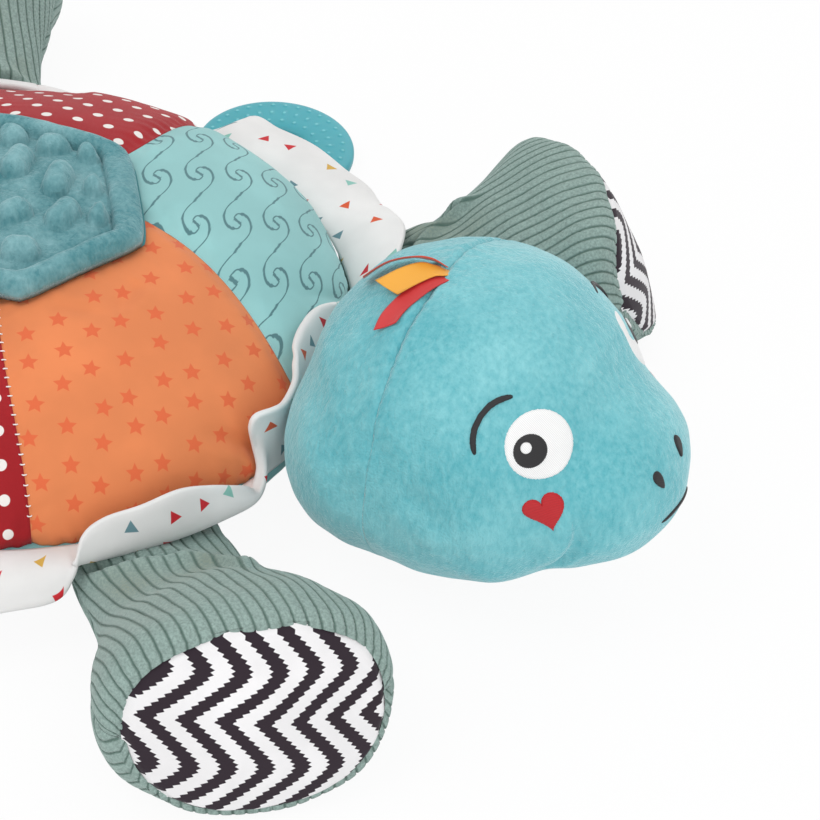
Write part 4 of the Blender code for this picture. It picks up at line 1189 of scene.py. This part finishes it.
def makeHead():
    azimuths = np.linspace(0, 2 * pi, 361)
    covers = [("faceCover", "head_front_cover", np.linspace(0, 1, 170), 1),
              ("backCover", "head_back_cover", np.linspace(1, 2, 100), -1)]
    for name, node, rings, tuckSide in covers:
        ring, azimuth = np.meshgrid(rings, azimuths, indexing="ij")
        seam = seamPolar(azimuth)
        polar = np.where(ring <= 1, seam * ring, seam + (pi - seam) * (ring - 1))
        ray = np.stack((np.cos(polar), np.sin(polar) * np.cos(azimuth),
                        np.sin(polar) * np.sin(azimuth)), -1)
        reach = headSkin(ray)
        edge = -1 if tuckSide > 0 else 0
        tuckRow = headMiddle + ray[edge:][:1] * (reach[edge:][:1, :, None] - 3.5)
        points = headMiddle + ray * reach[..., None]
        points = np.concatenate((points, tuckRow) if tuckSide > 0 else (tuckRow, points))
        cover = gridPiece(name, headPlaced(points), inside=headPlaced(headMiddle))
        dress(cover, "head", finishes["headPlush"],
              [node, "head_filling"] if tuckSide > 0 else [node])
    polar, azimuth = np.meshgrid(np.linspace(0, pi, 60), np.linspace(0, 2 * pi, 121), indexing="ij")
    pleats = 0.35 * np.sin(14 * azimuth) * np.sin(polar)
    radius = head["neckRadius"] + pleats
    ball = np.stack((radius * np.cos(polar), radius * np.sin(polar) * np.cos(azimuth),
                     radius * np.sin(polar) * np.sin(azimuth)), -1)
    neck = gridPiece("neckRoll", headPlaced(ball), closed=True)
    dress(neck, "neck", finishes["headPlush"], ["neck_stub"])


# Places on the head as latitude and longitude, and sizes in millimetres
face = {"eye": {"right": (25.4, 40.0), "left": (27.5, 38.5)}, "heart": (3.3, 40.0), "heartTilt": 20,
        "nostril": {"right": (6, 7.3), "left": (8.2, 5.2)}, "nostrilTilt": 20, "mouth": (-5.6, 0),
        "eyeRadius": 13.7, "pupilRadius": 6.7, "pupilBack": 4.0, "pupilDown": 1.6,
        "glintRadius": 2.2, "glintShift": 1.7, "browRadius": 16.8, "browHalf": 1.4,
        "browBack": 9.6, "browUp": 3.8, "heartHalf": 7.8, "nostrilLong": 4.0, "nostrilHalf": 2.1,
        "mouthRadius": 40, "mouthSpan": 17.5, "mouthHalf": 0.8}


def addStitching(name, node, side, seat, outline, finish, base, thick=0.75):
    # A patch of close stitches that swells in its middle and sinks into the pile at its edge
    latitude, longitude = np.radians(seat[0]), np.radians(seat[1])
    middle = np.array((np.cos(latitude) * np.cos(longitude),
                       -np.cos(latitude) * np.sin(longitude), np.sin(latitude)))
    forward = np.array((np.sin(longitude), np.cos(longitude), 0))
    upward = np.cross(middle, forward)
    spot = middle * float(headDistance(middle))
    shares = np.concatenate((np.linspace(0, 1, 24), [1.0]))
    share, angle = np.meshgrid(shares, np.linspace(0, 2 * pi, 145), indexing="ij")
    along, over = outline(share, angle)
    jag = softNoise(91, 0.09, angle) * 0.16
    reachOut = np.maximum(np.hypot(along, over), 1e-6)
    along, over = along * (1 + jag * share ** 8 / reachOut), over * (1 + jag * share ** 8 / reachOut)
    ray = spot + along[..., None] * forward + over[..., None] * upward
    ray = ray / np.linalg.norm(ray, axis=-1, keepdims=True)
    height = base + thick * np.sqrt(np.clip(1 - share ** 6, 0, 1))
    height[-1] -= 2.2
    points = headMiddle + ray * (headSkin(ray) + height)[..., None]
    points[..., 1] *= -side
    patch = gridPiece(name, headPlaced(points), np.stack((along, over), -1),
                      inside=headPlaced(headMiddle))
    dress(patch, "head", finishes[finish], [node])


def disc(radius, shift=(0, 0)):
    return lambda share, angle: (shift[0] + share * radius * np.cos(angle),
                                 shift[1] + share * radius * np.sin(angle))


def drop(halfLong, halfWide, tilt):
    # Wide at the top and drawn in to the bottom
    def outline(share, angle):
        across = halfWide * np.cos(angle) * (1 + 0.45 * np.sin(angle)) * share
        over = halfLong * np.sin(angle) * share
        a = np.radians(tilt)
        return across * np.cos(a) - over * np.sin(a), across * np.sin(a) + over * np.cos(a)
    return outline


def heart(halfWidth, tilt):
    def outline(share, angle):
        across = halfWidth * np.sin(angle) ** 3 * share
        over = halfWidth / 16 * share * (13 * np.cos(angle) - 5 * np.cos(2 * angle)
                                         - 2 * np.cos(3 * angle) - np.cos(4 * angle))
        a = np.radians(tilt)
        return across * np.cos(a) - over * np.sin(a), across * np.sin(a) + over * np.cos(a)
    return outline


def arc(radius, halfWidth, centre, first, last):
    def outline(share, angle):
        along = share * signedPower(np.cos(angle), 0.4)
        turn = np.radians((first + last) / 2 + (last - first) / 2 * along)
        reach = radius + halfWidth * share * signedPower(np.sin(angle), 0.7)
        return centre[0] + reach * np.cos(turn), centre[1] + reach * np.sin(turn)
    return outline


def makeFace():
    pupil = (-face["pupilBack"], -face["pupilDown"])
    glint = (pupil[0] - face["glintShift"], pupil[1] + face["glintShift"])
    for label, side in (("right", -1), ("left", 1)):
        addStitching("eyeWhite_" + label, "eye_white_" + label, side, face["eye"][label],
                     disc(face["eyeRadius"]), "whiteStitch", 0.1)
        addStitching("pupil_" + label, "eye_pupil_" + label, side, face["eye"][label],
                     disc(face["pupilRadius"], pupil), "blackStitch", 0.7)
        addStitching("glint_" + label, "eye_glint_" + label, side, face["eye"][label],
                     disc(face["glintRadius"], glint), "whiteStitch", 1.3)
        addStitching("browLine_" + label, "brow_" + label, side, face["eye"][label],
                     arc(face["browRadius"], face["browHalf"], (-face["browBack"], face["browUp"]),
                         84, 194), "blackStitch", 0.1)
        addStitching("heart_" + label, "cheek_heart_" + label, side, face["heart"],
                     heart(face["heartHalf"], face["heartTilt"]), "redStitch", 0.1)
        addStitching("nostrilStitch_" + label, "nostril_" + label, side, face["nostril"][label],
                     drop(face["nostrilLong"], face["nostrilHalf"], face["nostrilTilt"]),
                     "blackStitch", 0.0)
    addStitching("mouth", "mouth_stitch", -1, face["mouth"],
                 arc(face["mouthRadius"], face["mouthHalf"], (0, -face["mouthRadius"]),
                     90 - face["mouthSpan"], 90 + face["mouthSpan"]),
                 "blackStitch", 0.0)


ribbons = {"wide": 11, "thick": 0.35, "lean": (0.375, -0.673, 0.635)}
# Both long edges of each ribbon from its root: a place on the head, and how far it is off the
# head the way the tuft leans
ribbonEdges = {
    "redTuft": ("ribbon_red", "redRibbon", [
        (-17.5, -1.5, 59, -2, -10.5, -7.5, 61.3, -2), (-23.5, -8, 58.2, 1.0, -13.5, -9.5, 60.6, 1.0),
        (-27, -17, 55.5, 1.3, -17, -15, 58.5, 1.1), (-29.7, -28.5, 50.2, 1.5, -20.8, -25, 54, 1.3),
        (-29.5, -35.1, 45.5, 2.4, -21.7, -32.1, 51, 2.2)]),
    "yellowTuft": ("ribbon_yellow", "yellowRibbon", [
        (-16.8, -1.2, 58.9, -1.4, -12, -5.5, 61.4, -1.4), (-24, -0.8, 58, 4.0, -16.5, -6.2, 59.8, 2.4),
        (-30.5, -0.2, 55.9, 8.0, -20.1, -7.7, 58.8, 3.2), (-37, -4.5, 52.6, 11, -24.2, -13.1, 56.6, 3.2),
        (-43.7, -11.2, 47.3, 13.5, -28.2, -20.9, 54.1, 2.8)]),
    "orangeTuft": ("ribbon_orange", "orangeRibbon", [
        (-19.8, 0.4, 58.9, -1.2, -17.5, -1.6, 60.0, 2), (-27.5, 1.4, 57.6, 2.4, -27.4, 1.9, 58.2, 9.5),
        (-35.3, 2.0, 54.6, 3.0, -35.2, 2.2, 55.0, 13.0), (-43.3, -2.0, 50.4, 3.0, -43.2, -1.9, 50.8, 13.6),
        (-51, -7.2, 42.1, 3.0, -51, -7.1, 42.6, 13.8)])}


def makeRibbons():
    for name, (node, finish, rows) in ribbonEdges.items():
        rows = np.array(rows)
        share, across = np.meshgrid(np.linspace(0, 1, 46), np.linspace(-1, 1, 13), indexing="ij")
        edges = smoothRows(rows, np.gradient(rows, axis=0), share * (len(rows) - 1))
        lean = np.array(ribbons["lean"])
        one, other = (edges[..., k:k + 3] + edges[..., k + 3:k + 4] * lean for k in (0, 4))
        middle, half = (one + other) / 2, (other - one) / 2
        points = middle + half * across[..., None]
        sideways = across * np.linalg.norm(half, axis=2)
        run = np.linalg.norm(np.diff(middle[:, :1], axis=0), axis=2)
        far = np.cumsum(np.concatenate((np.zeros((1, 1)), run))) [:, None] + 0 * across
        curl = 0.5 * np.sin(far / 7) * smoothStep(share * 3) - 0.5 * across ** 2 * share
        facing = np.cross(half, np.gradient(middle, axis=0))
        points = points + facing / np.linalg.norm(facing, axis=2, keepdims=True) * curl[..., None]
        points, flat = doubled(points, np.stack((sideways, far), -1), ribbons["thick"])
        tuft = gridPiece(name, headPlaced(headMiddle + points), flat, closed=True)
        dress(tuft, "ribbon_tuft", finishes[finish], [node])


makeHead()
makeFace()
makeRibbons()
print("head made")


# Teether

teether = {"radius": 39, "hole": 15, "thick": 8, "heading": 78, "square": 0.6, "strapWide": 12,
           "strapThick": 0.9, "gap": 0.4, "reach": 3.4, "clearance": 0.5, "bead": 0.8,
           "dotRadius": 1.15, "dotRise": 0.55, "dotPitch": 6.4}


def makeTeether():
    low = teether["clearance"] + teether["strapThick"] + teether["gap"]
    reach = rimReach(leg["hingeHeight"]) + leg["gap"] + teether["bead"]
    ringX = reach + teether["reach"] + teether["radius"]
    middle = (teether["radius"] + teether["hole"]) / 2
    halfBand = (teether["radius"] - teether["hole"]) / 2
    section, turn = np.meshgrid(np.linspace(0, 2 * pi, 145), np.linspace(0, 2 * pi, 421), indexing="ij")
    outer = middle + halfBand * signedPower(np.cos(section), teether["square"])
    height = teether["thick"] / 2 * signedPower(np.sin(section), teether["square"])
    # Dots in rings, each ring with as many as fit at the pitch
    rings = np.round((outer - middle) / teether["dotPitch"])
    count = np.round(2 * pi * (middle + rings * teether["dotPitch"]) / teether["dotPitch"])
    place = turn * count / (2 * pi) + rings * 0.5
    aside = (place - np.round(place)) * 2 * pi * outer / count
    away = np.hypot(outer - middle - rings * teether["dotPitch"], aside)
    dots = np.clip(1 - (away / teether["dotRadius"]) ** 2, 0, 1) * (np.abs(np.sin(section)) > 0.35)
    height = height + np.sign(height) * teether["dotRise"] * np.sqrt(dots)
    points = np.stack((ringX + outer * np.cos(turn), outer * np.sin(turn),
                       low + teether["thick"] / 2 + height), -1)
    ring = gridPiece("teetherRing", turned(points, teether["heading"]), marks={"dots": dots},
                     closed=True)
    dress(ring, "teether_ring", finishes["rubber"], ["teether_ring"])

    # The strap is a tape that goes round the ring's band and back to its seam at the rim
    gap, thick = teether["gap"], teether["strapThick"]
    left = teether["reach"] - gap - thick / 2
    right = (teether["reach"] + teether["radius"] - np.sqrt(
        teether["hole"] ** 2 - (teether["strapWide"] / 2) ** 2) + gap + thick / 2)
    bottom, top = low - gap - thick / 2, low + teether["thick"] + gap + thick / 2
    hingeUp = leg["hingeHeight"]
    corners = [(0.0, hingeUp), (left * 0.7, top + 5), (left + 2, top), (right - 2, top), (right, top - 2),
               (right, bottom + 2), (right - 2, bottom), (left + 2, bottom), (left, bottom + 2),
               (left, top - 2.2), (left + 0.8, top - 0.4)]
    corners = np.array(corners)
    run = np.concatenate(([0], np.cumsum(np.linalg.norm(np.diff(corners, axis=0), axis=1))))
    steps = np.linspace(0, run[-1], 160)
    path = np.stack([np.interp(steps, run, corners[:, k]) for k in range(2)], -1)
    wide = np.linspace(-1, 1, 15) * teether["strapWide"] / 2
    x, y = np.meshgrid(path[:, 0] + reach, wide, indexing="ij")
    z, _ = np.meshgrid(path[:, 1], wide, indexing="ij")
    points, flat = doubled(np.stack((x, y, z), -1),
                           np.stack(np.meshgrid(steps, wide, indexing="ij"), -1), thick * 0.84)
    strap = gridPiece("strapLoop", turned(points, teether["heading"]), flat, closed=True)
    dress(strap, "teether_strap", finishes["plainCotton"], ["teether_strap"])


makeTeether()
print("teether made")
